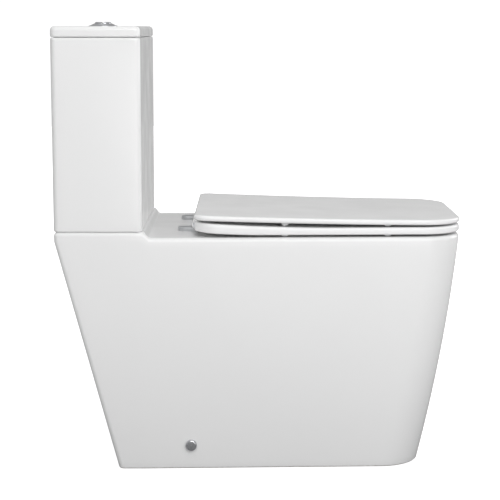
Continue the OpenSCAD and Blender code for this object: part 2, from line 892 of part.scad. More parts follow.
module fill_lever_pin() {
    color(steel)
    at_fill_valve()
    translate([lever_pivot_x, 0, lever_z])
    rotate([90, 0, 0]) cylinder(r = 1.5, h = 19, center = true, $fn = 32);
}

module blanking_plug() {
    color(plastic)
    translate([inlet_x, valve_y, 0]) {
        translate([0, 0, platform_h - 14])
            cylinder(r = shank_r, h = cistern_floor_z - platform_h + 14 + bite, $fn = 64);
        translate([0, 0, cistern_floor_z]) cylinder(r = 16, h = 5, $fn = 48);
    }
}

module blanking_nut() {
    color(plastic)
    translate([inlet_x, valve_y, platform_h - 9])
    difference() {
        cylinder(r = 18, h = 9, $fn = 6);
        translate([0, 0, -1]) cylinder(r = shank_r + play, h = 20, $fn = 64);
    }
}

// Cistern lid with a locating lip that drops inside the cistern
lip_gap = 2.5;
lip_t = 4;
lid_plate_t = 10;
module cistern_lid() {
    lip_w = cavity_w - 2 * lip_gap;
    lip_d = cavity_d - 2 * lip_gap;
    color(ceramic)
    difference() {
        union() {
            translate([0, cistern_mid_y, cistern_top_z])
                rounded_box(cistern_w, cistern_d, cistern_lid_t, cistern_r);
            translate([0, cistern_mid_y, cistern_top_z - 8]) rounded_box(lip_w, lip_d, 10, 5);
        }
        translate([0, cistern_mid_y, cistern_top_z - 9])
            rounded_box(lip_w - 2 * lip_t, lip_d - 2 * lip_t, 9 + cistern_lid_t - lid_plate_t, 4);
        translate([0, valve_y, cistern_top_z - 9]) cylinder(r = 20, h = 60, $fn = 64);
    }
}

module cistern_lid_pads() {
    color(rubber)
    for (sx = [-1, 1]) for (sy = [-1, 1])
        translate([sx * (cistern_w / 2 - 40), cistern_mid_y + sy * (cistern_d - cistern_wall) / 2,
                   cistern_rim_z + rest_gap])
        cylinder(r = 4, h = cistern_top_z - cistern_rim_z - rest_gap, $fn = 32);
}

// Dual flush button
collar_r = collar_d / 2;
button_r = 14.7;
button_top_z = total_h + button_h;
spring_floor_z = total_h - 22;
button_under_z = total_h - 4;

module button_collar() {
    color(chrome)
    translate([0, valve_y, 0])
    rotate_extrude($fn = 64)
    polygon([
        [collar_r, total_h], [collar_r, total_h + 0.8], [22, total_h + 2], [18.5, total_h + 3.6],
        [16.4, total_h + 4.8], [button_r + 0.4, total_h + 4.8], [button_r + 0.4, total_h - 5],
        [16.2, total_h - 7], [16.2, spring_floor_z], [16, spring_floor_z - 3],
        [18.5, spring_floor_z - 3], [18.5, total_h]
    ]);
    color(plastic)
    translate([0, valve_y, spring_floor_z - 3])
    difference() {
        cylinder(r = 16.5, h = 3, $fn = 64);
        for (side = [-1, 1])
            translate([0, side * rod_y, -1]) cylinder(r = 3, h = 6, $fn = 32);
    }
}

module button_clamp_nut() {
    color(plastic)
    translate([0, valve_y, cistern_top_z - 3])
    difference() {
        cylinder(r = 27, h = cistern_lid_t - lid_plate_t + 3, $fn = 8);
        translate([0, 0, -1]) cylinder(r = 18.5 + play, h = 30, $fn = 64);
    }
}

// Half a domed disc: its flat side slopes down into the valley between the two buttons
module half_button(side) {
    gap = 0.5;
    valley = 2.6;
    translate([0, valve_y, 0])
    intersection() {
        rotate_extrude($fn = 64)
            polygon(concat(
                [[0, button_under_z], [button_r, button_under_z], [button_r, button_top_z - 2.2]],
                [for (a = [15 : 15 : 90])
                    [button_r - 2.5 + 2.5 * cos(a), button_top_z - 2.2 + 2.2 * sin(a)]],
                [[0, button_top_z]]
            ));
        rotate([90, 0, 90])
            translate([0, 0, -30])
            linear_extrude(60)
            polygon([
                [side * gap, total_h - 20], [side * 30, total_h - 20], [side * 30, total_h + 30],
                [side * (gap + 2.5), total_h + 30], [side * (gap + 2.5), button_top_z],
                [side * gap, button_top_z - valley]
            ]);
    }
}

module full_flush_button() {
    color(chrome) half_button(1);
}

module half_flush_button() {
    color(chrome) half_button(-1);
}

rod_bottom_z = rocker_z + 3 + 1.5;
module push_rod(side) {
    translate([0, valve_y + side * rod_y, rod_bottom_z]) {
        cylinder(r1 = 1, r2 = 2.4, h = 4, $fn = 32);
        translate([0, 0, 4]) cylinder(r = 2.4, h = button_under_z - rod_bottom_z - 4, $fn = 32);
    }
}

module full_flush_rod() {
    color(plastic) push_rod(1);
}

module half_flush_rod() {
    color(plastic) push_rod(-1);
}

// Return spring: a helix of round wire between the collar's floor and the button
wire_r = 0.5;
coil_r = 4.6;
coil_turns = 5;
steps_per_turn = 14;
wire_sides = 6;
module spring(side) {
    low = spring_floor_z + wire_r + 0.1;
    high = button_under_z - wire_r - 0.1;
    count = coil_turns * steps_per_turn;
    points = [for (k = [0 : count]) for (j = [0 : wire_sides - 1]) let (
        turn = 360 * k / steps_per_turn,
        around = 360 * j / wire_sides,
        r = coil_r + wire_r * cos(around)
    ) [r * cos(turn), r * sin(turn), low + (high - low) * k / count + wire_r * sin(around)]];
    walls = [for (k = [0 : count - 1]) for (j = [0 : wire_sides - 1]) let (
        a = k * wire_sides + j,
        b = k * wire_sides + (j + 1) % wire_sides,
        c = a + wire_sides,
        d = b + wire_sides
    ) each [[a, b, d], [a, d, c]]];
    start = [for (j = [wire_sides - 1 : -1 : 0]) j];
    finish = [for (j = [0 : wire_sides - 1]) count * wire_sides + j];
    translate([0, valve_y + side * rod_y, 0])
        polyhedron(points = points, faces = concat(walls, [start, finish]), convexity = 10);
}

module full_flush_spring() {
    color(steel) spring(1);
}

module half_flush_spring() {
    color(steel) spring(-1);
}

pan();
floor_brackets();
side_fixing_screws();
side_cap_left();
side_cap_right();
hinge_base_left();
hinge_base_right();
hinge_studs();
hinge_cone_washers();
hinge_wing_nuts();
hinge_pins();
seat_ring();
seat_buffers();
seat_dampers();
seat_lid();
seat_lid_buffers();
seat_lid_dampers();
cistern();
coupling_gasket();
cistern_bolts();
cistern_bolt_seals();
cistern_bolt_washers();
cistern_wing_nuts();
flush_valve_base();
flush_valve_washer();
flush_valve_backnut();
flush_valve_tower();
flush_lift_tube();
flush_seal();
rocker_pin();
full_flush_rocker();
half_flush_rocker();
fill_valve_body();
fill_valve_washer();
fill_valve_backnut();
fill_outlet_tube();
fill_float();
fill_lever();
fill_lever_pin();
blanking_plug();
blanking_nut();
cistern_lid();
cistern_lid_pads();
button_collar();
button_clamp_nut();
full_flush_button();
half_flush_button();
full_flush_rod();
half_flush_rod();
full_flush_spring();
half_flush_spring();
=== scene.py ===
import math

import bpy
import numpy as np
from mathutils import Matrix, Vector


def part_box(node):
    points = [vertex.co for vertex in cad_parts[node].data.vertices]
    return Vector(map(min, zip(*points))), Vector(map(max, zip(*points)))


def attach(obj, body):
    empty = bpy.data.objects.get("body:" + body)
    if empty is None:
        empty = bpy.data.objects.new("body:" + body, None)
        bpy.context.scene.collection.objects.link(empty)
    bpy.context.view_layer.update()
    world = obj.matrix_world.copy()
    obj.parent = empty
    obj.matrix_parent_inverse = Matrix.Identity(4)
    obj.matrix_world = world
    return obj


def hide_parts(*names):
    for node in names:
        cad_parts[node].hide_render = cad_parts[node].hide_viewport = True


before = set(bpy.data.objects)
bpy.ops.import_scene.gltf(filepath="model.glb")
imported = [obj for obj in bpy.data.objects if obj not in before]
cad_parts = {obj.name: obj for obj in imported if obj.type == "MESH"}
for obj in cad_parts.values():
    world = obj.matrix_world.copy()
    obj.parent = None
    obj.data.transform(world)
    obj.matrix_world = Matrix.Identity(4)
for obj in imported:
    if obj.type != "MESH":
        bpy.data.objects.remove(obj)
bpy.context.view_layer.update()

# ---------------------------------------------------------------- sizes, in millimetres


def node_box(node):
    """The node's lowest and highest corners in millimetres."""
    low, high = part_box(node)
    return np.array(low) * 1000, np.array(high) * 1000


pan_low, pan_high = node_box("pan")
tank_low, tank_high = node_box("cistern")
tank_lid_high = node_box("cistern_lid")[1]
collar_low, collar_high = node_box("button_collar")
button_low, button_high = node_box("full_flush_button")
pin_low, pin_high = node_box("hinge_pins")
base_low, base_high = node_box("hinge_base_right")
cap_low, cap_high = node_box("side_cap_right")
buffer_low, buffer_high = node_box("seat_buffers")

FRONT_Y = pan_low[1]
BACK_Y = pan_high[1]
SIDE_X = pan_high[0]
PLATFORM_Z = pan_high[2]
RIM_Z = PLATFORM_Z - 10
TANK_FRONT_Y = tank_low[1]
DECK_UNDER_Z = RIM_Z - 24
TAPER = (SIDE_X - 164.5) / (TANK_FRONT_Y - FRONT_Y)
CORNER_R = 70
SKIRT_WALL = 14
FOOT_R = 3
MOUTH_R = 7
DECK_R = 12
OUTLET_Z = 180
BOWL_Y = FRONT_Y + 230
VALVE_Y = (collar_low[1] + collar_high[1]) / 2
HINGE_X = (base_low[0] + base_high[0]) / 2
AXIS_Y = (pin_low[1] + pin_high[1]) / 2
AXIS_Z = (pin_low[2] + pin_high[2]) / 2
TANK_TOP_Z = tank_lid_high[2] - 18
TANK_R = 10
TANK_EDGE_R = 3
LID_BACK_Y = TANK_FRONT_Y - 87
LID_T = 8.8
SEAT_BACK_Y = LID_BACK_Y + 4
SEAT_LOW_Z = RIM_Z + 4.3
PAD_HALF_L = 6.5
PAD_YS = np.array([buffer_low[1] + PAD_HALF_L, buffer_high[1] - PAD_HALF_L])


def half_width(y):
    """Half the pan's width: full at the cistern, and less by the same amount for each step forward."""
    return SIDE_X - TAPER * np.maximum(0, TANK_FRONT_Y - y)


def pan_front(z):
    """The front's depth: a straight lean plus a square term, both counted down from the rim."""
    d = np.maximum(0, RIM_Z - z)
    return FRONT_Y + 0.10 * d + 0.00018 * d**2


def pan_back(z):
    """The back edge: upright for its top 15 mm, then a straight slant in to the foot."""
    top = RIM_Z - 5
    return BACK_Y - 106 * np.maximum(0, top - z) / top


def ease(t):
    """0 to 1 with level ends: 3 t squared less 2 t cubed."""
    t = np.clip(t, 0, 1)
    return t * t * (3 - 2 * t)


def pan_top(y):
    """Rim height, easing up by 10 mm to the cistern's platform over 9 mm."""
    return RIM_Z + (PLATFORM_Z - RIM_Z) * ease((y - TANK_FRONT_Y + 10.5) / 9)


# ---------------------------------------------------------------- making meshes


def straight(p, q, n):
    """n points strictly between p and q, evenly spaced."""
    t = np.linspace(0, 1, n + 2)[1:-1, None]
    return np.array(p, float) * (1 - t) + np.array(q, float) * t


def arc(cx, cy, r, a0, a1, n):
    """n points on a circle from angle a0 to a1, in degrees, ends included."""
    a = np.radians(np.linspace(a0, a1, n))
    return np.stack([cx + r * np.cos(a), cy + r * np.sin(a)], -1)


def quarter(n):
    """n steps of a quarter turn as (1 - cos, 1 - sin): how far a round edge has gone, and how far it has yet to go."""
    a = np.linspace(0, np.pi / 2, n)
    return list(zip(1 - np.cos(a), 1 - np.sin(a)))


def both_halves(half):
    """A right half that runs from the front middle to the back middle, with its mirror image after it."""
    return np.concatenate([half, half[-2:0:-1] * [-1, 1]])


def at_height(plan, z):
    """Plan points lifted to a height or to one height each."""
    return np.column_stack([plan, np.broadcast_to(z, len(plan))])


def add_mesh(name, points, faces, smooth=40):
    """A mesh object from millimetre points and faces, turned the right way out by its signed volume."""
    points = np.asarray(points, float) / 1000
    mesh = bpy.data.meshes.new(name)
    mesh.from_pydata(points.tolist(), [], faces)
    mesh.update()
    mesh.calc_loop_triangles()
    tris = np.zeros(len(mesh.loop_triangles) * 3, np.int32)
    mesh.loop_triangles.foreach_get("vertices", tris)
    a, b, c = (points[tris.reshape(-1, 3)[:, k]] for k in range(3))
    if np.einsum("ij,ij->i", a, np.cross(b, c)).sum() < 0:
        mesh.flip_normals()
    mesh.polygons.foreach_set("use_smooth", np.ones(len(mesh.polygons), bool))
    mesh.set_sharp_from_angle(angle=math.radians(smooth))
    made = bpy.data.objects.new(name, mesh)
    bpy.context.scene.collection.objects.link(made)
    return made


def grid_faces(rows, cols, joined_rows=False, joined_cols=True):
    """Four-cornered faces between neighbours of a rows by cols grid, wrapping where joined."""
    r = np.arange(rows if joined_rows else rows - 1)[:, None]
    c = np.arange(cols if joined_cols else cols - 1)[None, :]
    r2, c2 = (r + 1) % rows, (c + 1) % cols
    quads = np.stack([r * cols + c, r * cols + c2, r2 * cols + c2, r2 * cols + c], -1)
    return quads.reshape(-1, 4).tolist()


def skin(rings):
    """Rings of equal length joined in order, with a fan to the middle of the first and the last."""
    rings = np.asarray(rings, float)
    rows, cols = rings.shape[:2]
    points = np.concatenate([rings.reshape(-1, 3), [rings[0].mean(0), rings[-1].mean(0)]])
    faces = grid_faces(rows, cols)
    first, last = rows * cols, rows * cols + 1
    around = np.arange(cols)
    after = (around + 1) % cols
    faces += np.column_stack([after, around, np.full(cols, first)]).tolist()
    low = (rows - 1) * cols
    faces += np.column_stack([low + around, low + after, np.full(cols, last)]).tolist()
    return points, faces


def hoop(rings):
    """Rings of equal length joined in order, the last to the first, as round a tyre."""
    rings = np.asarray(rings, float)
    return rings.reshape(-1, 3), grid_faces(*rings.shape[:2], joined_rows=True)


def closing(ring, depth, n):
    """Rings that close a level ring into a round bottom of this depth, all but its lowest point."""
    middle = ring.mean(0)
    rings = []
    for c, s in quarter(n)[1:-1]:
        more = middle + (ring - middle) * (1 - c)
        more[:, 2] = ring[0, 2] - depth * (1 - s)
        rings.append(more)
    return rings


def joined(parts):
    """Several (points, faces) pairs as one."""
    points, faces = [], []
    for more, more_faces in parts:
        shift = sum(len(p) for p in points)
        points.append(more)
        faces += [[i + shift for i in face] for face in more_faces]
    return np.concatenate(points), faces


def turned(profile, centre, steps=128, whole=True, axis="z"):
    """A profile of (radius, height) turned about an axis through the centre, with its height along that axis."""
    profile = np.asarray(profile, float)
    a = np.linspace(0, 2 * np.pi, steps, endpoint=False)
    x = profile[:, :1] * np.cos(a)
    y = profile[:, :1] * np.sin(a)
    z = np.broadcast_to(profile[:, 1:2], x.shape)
    order = {"x": (z, x, y), "y": (x, z, y), "z": (x, y, z)}[axis]
    rings = np.stack(order, -1) + np.asarray(centre, float)
    return hoop(rings) if whole else skin(rings)


def rounded_rectangle(half_x, half_y, r, corner=10, side_x=24, side_y=14):
    """A rectangle with round corners, drawn from the middle of its front."""
    half = np.concatenate(
        [
            [[0, -half_y]],
            straight((0, -half_y), (half_x - r, -half_y), side_x),
            arc(half_x - r, -half_y + r, r, -90, 0, corner),
            straight((half_x, -half_y + r), (half_x, half_y - r), side_y),
            arc(half_x - r, half_y - r, r, 0, 90, corner),
            straight((half_x - r, half_y), (0, half_y), side_x),
            [[0, half_y]],
        ]
    )
    return both_halves(half)


def squircle(half_x, half_y, power, angles):
    """The point at each angle on the curve where (x/a)^power + (y/b)^power = 1."""
    c, s = np.cos(angles), np.sin(angles)
    r = ((np.abs(c) / half_x) ** power + (np.abs(s) / half_y) ** power) ** (-1 / power)
    return np.stack([r * c, r * s], -1)


def carve(body, cuts, how):
    """Joins or cuts closed solids with body and keeps the result as its mesh. Faces keep their own glaze."""
    for cut in cuts:
        step = body.modifiers.new(how, "BOOLEAN")
        step.operation = how
        step.solver = "EXACT"
        step.object = cut
        step.material_mode = "TRANSFER"
    shown = body.evaluated_get(bpy.context.evaluated_depsgraph_get())
    mesh = bpy.data.meshes.new_from_object(shown)
    body.modifiers.clear()
    body.data = mesh
    for cut in cuts:
        bpy.data.objects.remove(cut)
    mesh.polygons.foreach_set("use_smooth", np.ones(len(mesh.polygons), bool))
    mesh.set_sharp_from_angle(angle=math.radians(40))
    return body


def place(piece, body, slot, *nodes):
    """The piece rides on its body and hides the nodes it stands in for; the slot is not used."""
    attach(piece, body)
    if nodes:
        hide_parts(*nodes)
    return piece


def wear(piece, *finishes):
    """Gives the piece its finishes in order."""
    piece.data.materials.clear()
    for finish in finishes:
        piece.data.materials.append(finish)
    return piece


# ---------------------------------------------------------------- finishes


def new_group(name, inputs, outputs):
    """An empty node group with named number inputs and outputs."""
    group = bpy.data.node_groups.new(name, "ShaderNodeTree")
    for label, value in inputs:
        group.interface.new_socket(label, in_out="INPUT", socket_type="NodeSocketFloat").default_value = value
    for label in outputs:
        group.interface.new_socket(label, in_out="OUTPUT", socket_type="NodeSocketFloat")
    return group, group.nodes.new("NodeGroupInput"), group.nodes.new("NodeGroupOutput")


def patch(tree, kind, links=(), **values):
    """Adds a node, links (source socket, input name) pairs into it, and sets inputs or properties by name.

    An underscore in an input's name stands for a space."""
    node = tree.nodes.new(kind)
    for key, value in values.items():
        label = key.replace("_", " ")
        if label in node.inputs:
            node.inputs[label].default_value = value
        else:
            setattr(node, key, value)
    for source, name in links:
        tree.links.new(source, node.inputs[name])
    return node


def make_drift_group():
    """Slow cloudy change over a surface: one fractal noise of the object's own coordinates, 0 to 1."""
    group, gin, gout = new_group("slow_drift", [("Size", 5.0), ("Sharpness", 2.0)], ["Amount"])
    where = patch(group, "ShaderNodeTexCoord")
    noise = patch(group, "ShaderNodeTexNoise", [(where.outputs["Object"], "Vector"), (gin.outputs["Size"], "Scale")],
                  Detail=3.0, Roughness=0.45)
    middle = patch(group, "ShaderNodeMath", [(noise.outputs["Fac"], 0)], operation="SUBTRACT")
    middle.inputs[1].default_value = 0.5
    spread = patch(group, "ShaderNodeMath", [(middle.outputs[0], 0), (gin.outputs["Sharpness"], 1)],
                   operation="MULTIPLY")
    back = patch(group, "ShaderNodeMath", [(spread.outputs[0], 0)], operation="ADD", use_clamp=True)
    back.inputs[1].default_value = 0.5
    group.links.new(back.outputs[0], gout.inputs["Amount"])
    return group


def make_skin_group():
    """Height of a moulded or glazed skin: long waves plus fine peel, each a noise with its own size and share."""
    group, gin, gout = new_group(
        "skin_height", [("Wave Size", 9.0), ("Wave", 1.0), ("Peel Size", 240.0), ("Peel", 0.1)], ["Height"]
    )
    where = patch(group, "ShaderNodeTexCoord")
    wave = patch(group, "ShaderNodeTexNoise",
                 [(where.outputs["Object"], "Vector"), (gin.outputs["Wave Size"], "Scale")], Detail=1.0)
    peel = patch(group, "ShaderNodeTexNoise",
                 [(where.outputs["Object"], "Vector"), (gin.outputs["Peel Size"], "Scale")], Detail=2.0)
    a = patch(group, "ShaderNodeMath", [(wave.outputs["Fac"], 0), (gin.outputs["Wave"], 1)], operation="MULTIPLY")
    b = patch(group, "ShaderNodeMath", [(peel.outputs["Fac"], 0), (gin.outputs["Peel"], 1)], operation="MULTIPLY")
    total = patch(group, "ShaderNodeMath", [(a.outputs[0], 0), (b.outputs[0], 1)], operation="ADD")
    group.links.new(total.outputs[0], gout.inputs["Height"])
    return group


def make_brush_group():
    """Fine lines along the length: noise squeezed hard across one direction."""
    group, gin, gout = new_group("brush_lines", [("Fineness", 900.0)], ["Amount"])
    where = patch(group, "ShaderNodeTexCoord")
    squeeze = patch(group, "ShaderNodeMapping", [(where.outputs["Object"], "Vector")], Scale=(1.0, 1.0, 0.04))
    noise = patch(group, "ShaderNodeTexNoise",
                  [(squeeze.outputs["Vector"], "Vector"), (gin.outputs["Fineness"], "Scale")], Detail=2.0)
    group.links.new(noise.outputs["Fac"], gout.inputs["Amount"])
    return group


DRIFT = make_drift_group()
SKIN = make_skin_group()
BRUSH = make_brush_group()


def new_finish(name):
    """A material with its own Principled shader, empty of everything else."""
    finish = bpy.data.materials.new(name)
    finish.use_nodes = True
    tree = finish.node_tree
    tree.nodes.clear()
    shader = tree.nodes.new("ShaderNodeBsdfPrincipled")
    out = tree.nodes.new("ShaderNodeOutputMaterial")
    tree.links.new(shader.outputs[0], out.inputs["Surface"])
    return finish, tree, shader


def use_group(tree, group, **values):
    """Places a shared node group with its own values; underscores in the names stand for spaces."""
    node = tree.nodes.new("ShaderNodeGroup")
    node.node_tree = group
    for key, value in values.items():
        node.inputs[key.replace("_", " ")].default_value = value
    return node


def between(tree, amount, low, high):
    """low where the amount is 0 and high where it is 1, for numbers."""
    return patch(tree, "ShaderNodeMapRange", [(amount, "Value")], To_Min=low, To_Max=high).outputs["Result"]


def blend_colours(tree, amount, low, high):
    """One colour where the amount is 0 and the other where it is 1. Each is a colour or a socket."""
    node = patch(tree, "ShaderNodeMix", data_type="RGBA")
    tree.links.new(amount, node.inputs[0])
    for slot, colour in ((6, low), (7, high)):
        if isinstance(colour, bpy.types.NodeSocket):
            tree.links.new(colour, node.inputs[slot])
        else:
            node.inputs[slot].default_value = (*colour, 1)
    return node.outputs[2]


def bump(tree, shader, height, strength, depth):
    """Feeds a height through a Bump node to the shader's normal."""
    node = patch(tree, "ShaderNodeBump", [(height, "Height")], Strength=strength, Distance=depth)
    tree.links.new(node.outputs["Normal"], shader.inputs["Normal"])


def glazed_ceramic(name, tone, rough=(0.10, 0.17)):
    """White glaze: two close whites in slow clouds, a wet roughness, long waves and a faint peel, and a bare foot."""
    finish, tree, shader = new_finish(name)
    cloud = use_group(tree, DRIFT, Size=4.0, Sharpness=2.2)
    light = blend_colours(tree, cloud.outputs[0], [c * 0.985 for c in tone], tone)
    smear = use_group(tree, DRIFT, Size=14.0, Sharpness=3.0)
    where = patch(tree, "ShaderNodeTexCoord")
    split = patch(tree, "ShaderNodeSeparateXYZ", [(where.outputs["Object"], "Vector")])
    foot = patch(tree, "ShaderNodeMapRange", [(split.outputs["Z"], "Value")], From_Min=0.0022, From_Max=0.0008)
    bare = blend_colours(tree, foot.outputs[0], light, (0.62, 0.58, 0.52))
    tree.links.new(bare, shader.inputs["Base Color"])
    wet = between(tree, smear.outputs[0], *rough)
    dry = patch(tree, "ShaderNodeMath", [(foot.outputs[0], 0)], operation="MULTIPLY")
    dry.inputs[1].default_value = 0.5
    total = patch(tree, "ShaderNodeMath", [(wet, 0), (dry.outputs[0], 1)], operation="ADD")
    tree.links.new(total.outputs[0], shader.inputs["Roughness"])
    skin_height = use_group(tree, SKIN, Wave_Size=7.0, Wave=1.0, Peel_Size=260.0, Peel=0.012)
    bump(tree, shader, skin_height.outputs[0], 0.35, 0.003)
    shader.inputs["IOR"].default_value = 1.5
    return finish


def bare_ceramic(name):
    """Thin, dry glaze inside the skirt: warmer, rougher and grainy."""
    finish, tree, shader = new_finish(name)
    cloud = use_group(tree, DRIFT, Size=18.0, Sharpness=3.0)
    colour = blend_colours(tree, cloud.outputs[0], (0.66, 0.64, 0.60), (0.78, 0.77, 0.74))
    tree.links.new(colour, shader.inputs["Base Color"])
    tree.links.new(between(tree, cloud.outputs[0], 0.62, 0.42), shader.inputs["Roughness"])
    grain = use_group(tree, SKIN, Wave_Size=30.0, Wave=0.5, Peel_Size=700.0, Peel=0.25)
    bump(tree, shader, grain.outputs[0], 0.5, 0.001)
    return finish


def moulded(name, tone, rough, grain=0.05, grain_size=900.0, spread=0.04):
    """Moulded plastic: a close pair of shades, even sheen and a fine grain."""
    finish, tree, shader = new_finish(name)
    cloud = use_group(tree, DRIFT, Size=12.0, Sharpness=2.0)
    colour = blend_colours(tree, cloud.outputs[0], [c * (1 - spread) for c in tone], tone)
    tree.links.new(colour, shader.inputs["Base Color"])
    tree.links.new(between(tree, cloud.outputs[0], rough * 0.9, rough * 1.15), shader.inputs["Roughness"])
    skin_height = use_group(tree, SKIN, Wave_Size=20.0, Wave=0.3, Peel_Size=grain_size, Peel=grain)
    bump(tree, shader, skin_height.outputs[0], 0.3, 0.0012)
    return finish


def plated(name, tone, rough):
    """Chrome plate: a mirror with slow waves and faint smears."""
    finish, tree, shader = new_finish(name)
    smear = use_group(tree, DRIFT, Size=60.0, Sharpness=3.0)
    colour = blend_colours(tree, smear.outputs[0], [c * 0.93 for c in tone], tone)
    tree.links.new(colour, shader.inputs["Base Color"])
    tree.links.new(between(tree, smear.outputs[0], *rough), shader.inputs["Roughness"])
    skin_height = use_group(tree, SKIN, Wave_Size=40.0, Wave=0.2, Peel_Size=900.0, Peel=0.01)
    bump(tree, shader, skin_height.outputs[0], 0.2, 0.0006)
    shader.inputs["Metallic"].default_value = 1.0
    return finish


def brushed(name, tone):
    """Stainless steel with fine lines along its length."""
    finish, tree, shader = new_finish(name)
    lines = use_group(tree, BRUSH, Fineness=1400.0)
    colour = blend_colours(tree, lines.outputs[0], [c * 0.82 for c in tone], tone)
    tree.links.new(colour, shader.inputs["Base Color"])
    tree.links.new(between(tree, lines.outputs[0], 0.42, 0.24), shader.inputs["Roughness"])
    bump(tree, shader, lines.outputs[0], 0.15, 0.0003)
    shader.inputs["Metallic"].default_value = 1.0
    return finish


GLAZE = glazed_ceramic("white_glaze", (0.90, 0.90, 0.90))
DRY_GLAZE = bare_ceramic("dry_glaze")
SEAT_WHITE = moulded("seat_gloss", (0.93, 0.93, 0.93), 0.2, grain=0.012, grain_size=420.0, spread=0.012)
CHROME = plated("chrome_plate", (0.62, 0.63, 0.65), (0.06, 0.13))
SATIN = plated("satin_chrome", (0.52, 0.53, 0.54), (0.36, 0.48))
STEEL = brushed("brushed_steel", (0.62, 0.63, 0.65))
WHITE_PLASTIC = moulded("white_moulding", (0.78, 0.79, 0.80), 0.42)
BLUE_PLASTIC = moulded("blue_moulding", (0.10, 0.24, 0.50), 0.38)
RUBBER = moulded("black_rubber", (0.035, 0.035, 0.037), 0.62, grain=0.15)
SOFT_WHITE = moulded("buffer_rubber", (0.86, 0.86, 0.86), 0.4, grain=0.06)

# ---------------------------------------------------------------- pan


def pan_outline(front, back, inset, front_r, back_r):
    """The pan from above: flat front, round front corners, sides on the taper, small round back corners."""
    cy = front + front_r
    cx = half_width(cy) - inset - front_r
    bx = SIDE_X - inset - back_r
    half = np.concatenate(
        [
            [[0, front]],
            straight((0, front), (cx, front), 13),
            arc(cx, cy, front_r, -90, 0, 30),
            straight((cx + front_r, cy), (SIDE_X - inset, TANK_FRONT_Y), 84),
            [[SIDE_X - inset, TANK_FRONT_Y]],
            straight((SIDE_X - inset, TANK_FRONT_Y), (bx + back_r, back - back_r), 16),
            arc(bx, back - back_r, back_r, 0, 90, 9),
            straight((bx, back), (0, back), 20),
            [[0, back]],
        ]
    )
    return both_halves(half)


# Depth under the rim, half width, half length and shift of the bowl's middle, from the rim down
BOWL = np.array(
    [
        [0, 127, 179, 0],
        [16, 126.5, 178.5, 0],
        [60, 119, 168, 2],
        [110, 102, 146, 7],
        [160, 80, 118, 13],
        [202, 62, 92, 19],
        [240, 50, 66, 21],
        [275, 38, 42, 21],
        [292, 24, 26, 21],
    ],
    float,
)


def smooth_through(t, knots, values):
    """A cubic between each pair of knots, with each knot's slope the mean of the slopes beside it."""
    step = np.diff(knots)
    rise = np.diff(values) / step
    slope = np.concatenate([rise[:1], (rise[1:] + rise[:-1]) / 2, rise[-1:]])
    k = np.clip(np.searchsorted(knots, t, side="right") - 1, 0, len(knots) - 2)
    h = step[k]
    u = (t - knots[k]) / h
    return (
        values[k] * (2 * u**3 - 3 * u**2 + 1)
        + slope[k] * h * (u**3 - 2 * u**2 + u)
        + values[k + 1] * (3 * u**2 - 2 * u**3)
        + slope[k + 1] * h * (u**3 - u**2)
    )


def bowl_ring(depth, grow, angles):
    """The bowl's squircle at a depth under the rim, grown outwards, at given angles about its middle."""
    a, b, shift = (smooth_through(np.array([depth]), BOWL[:, 0], BOWL[:, k])[0] for k in (1, 2, 3))
    ring = squircle(a + grow, b + grow, 2.6 - depth / 500, angles)
    return ring + [0, BOWL_Y + shift]


def make_pan():
    """Foot, wall, top edge, rim, ramp to the platform, bowl mouth and bowl as one grid, then hollowed below.

    Row by row: the foot turns 3 mm, the wall follows pan_front and pan_back, the top edge turns 7.5 mm,
    the rim runs level to the mouth with its rows gathered at the platform ramp, the mouth turns 7 mm,
    and the bowl closes to a point at the sump."""
    rings = []
    edge = 7.5

    def wall_ring(low, high, inset):
        front, back = pan_front(low) + inset, pan_back(high) - inset
        plan = pan_outline(front, back, inset, CORNER_R - inset, 9 - min(inset, 6))
        rise = (pan_top(plan[:, 1]) - RIM_Z) / (PLATFORM_Z - RIM_Z)
        return at_height(plan, low + (high - low) * rise)

    for c, s in quarter(6):
        rings.append(wall_ring(FOOT_R * c, FOOT_R * c, FOOT_R * s))
    low_top, high_top = RIM_Z - edge, PLATFORM_Z - edge
    low_climb, high_climb = low_top - FOOT_R, high_top - FOOT_R
    for v in np.sort(np.append(np.linspace(0, 1, 46)[1:], low_climb / high_climb)):
        rings.append(wall_ring(FOOT_R + low_climb * v, FOOT_R + high_climb * v, 0))
    for c, s in quarter(9)[1:]:
        rings.append(wall_ring(RIM_Z - edge * s, PLATFORM_Z - edge * s, edge * c))
    outer = rings[-1][:, :2]
    angles = np.arctan2(outer[:, 1] - BOWL_Y, outer[:, 0])
    mouth = bowl_ring(0, MOUTH_R, angles)
    ramp_y = TANK_FRONT_Y - 11
    reach = outer[:, 1] - mouth[:, 1]
    reach = np.where(np.abs(reach) < 1e-6, 1e-6, reach)
    behind = outer[:, 1] > ramp_y
    ramp_near = np.where(behind, np.clip((outer[:, 1] - TANK_FRONT_Y) / reach, 0.03, 0.97), 0.03)
    ramp_far = np.where(behind, np.clip((outer[:, 1] - ramp_y) / reach, 0.05, 0.985), 0.05)
    stops = [(0 * reach, ramp_near, 8), (ramp_near, ramp_far, 12), (ramp_far, 0 * reach + 1, 22)]
    for low, high, count in stops:
        for t in np.linspace(0, 1, count + 1)[1:]:
            s = (low * (1 - t) + high * t)[:, None]
            plan = outer * (1 - s) + mouth * s
            rings.append(at_height(plan, pan_top(plan[:, 1])))
    for c, s in quarter(9)[1:]:
        rings.append(at_height(bowl_ring(MOUTH_R * c, MOUTH_R * s, angles), RIM_Z - MOUTH_R * c))
    for depth in np.linspace(MOUTH_R, 288, 60)[1:]:
        rings.append(at_height(bowl_ring(depth, 0, angles), RIM_Z - depth))
    rings += closing(rings[-1], 8, 7)
    pan = wear(add_mesh("pan_glazed", *skin(rings)), GLAZE)
    carve(pan, [make_hollow()], "DIFFERENCE")
    return carve(pan, make_waterways(), "DIFFERENCE")


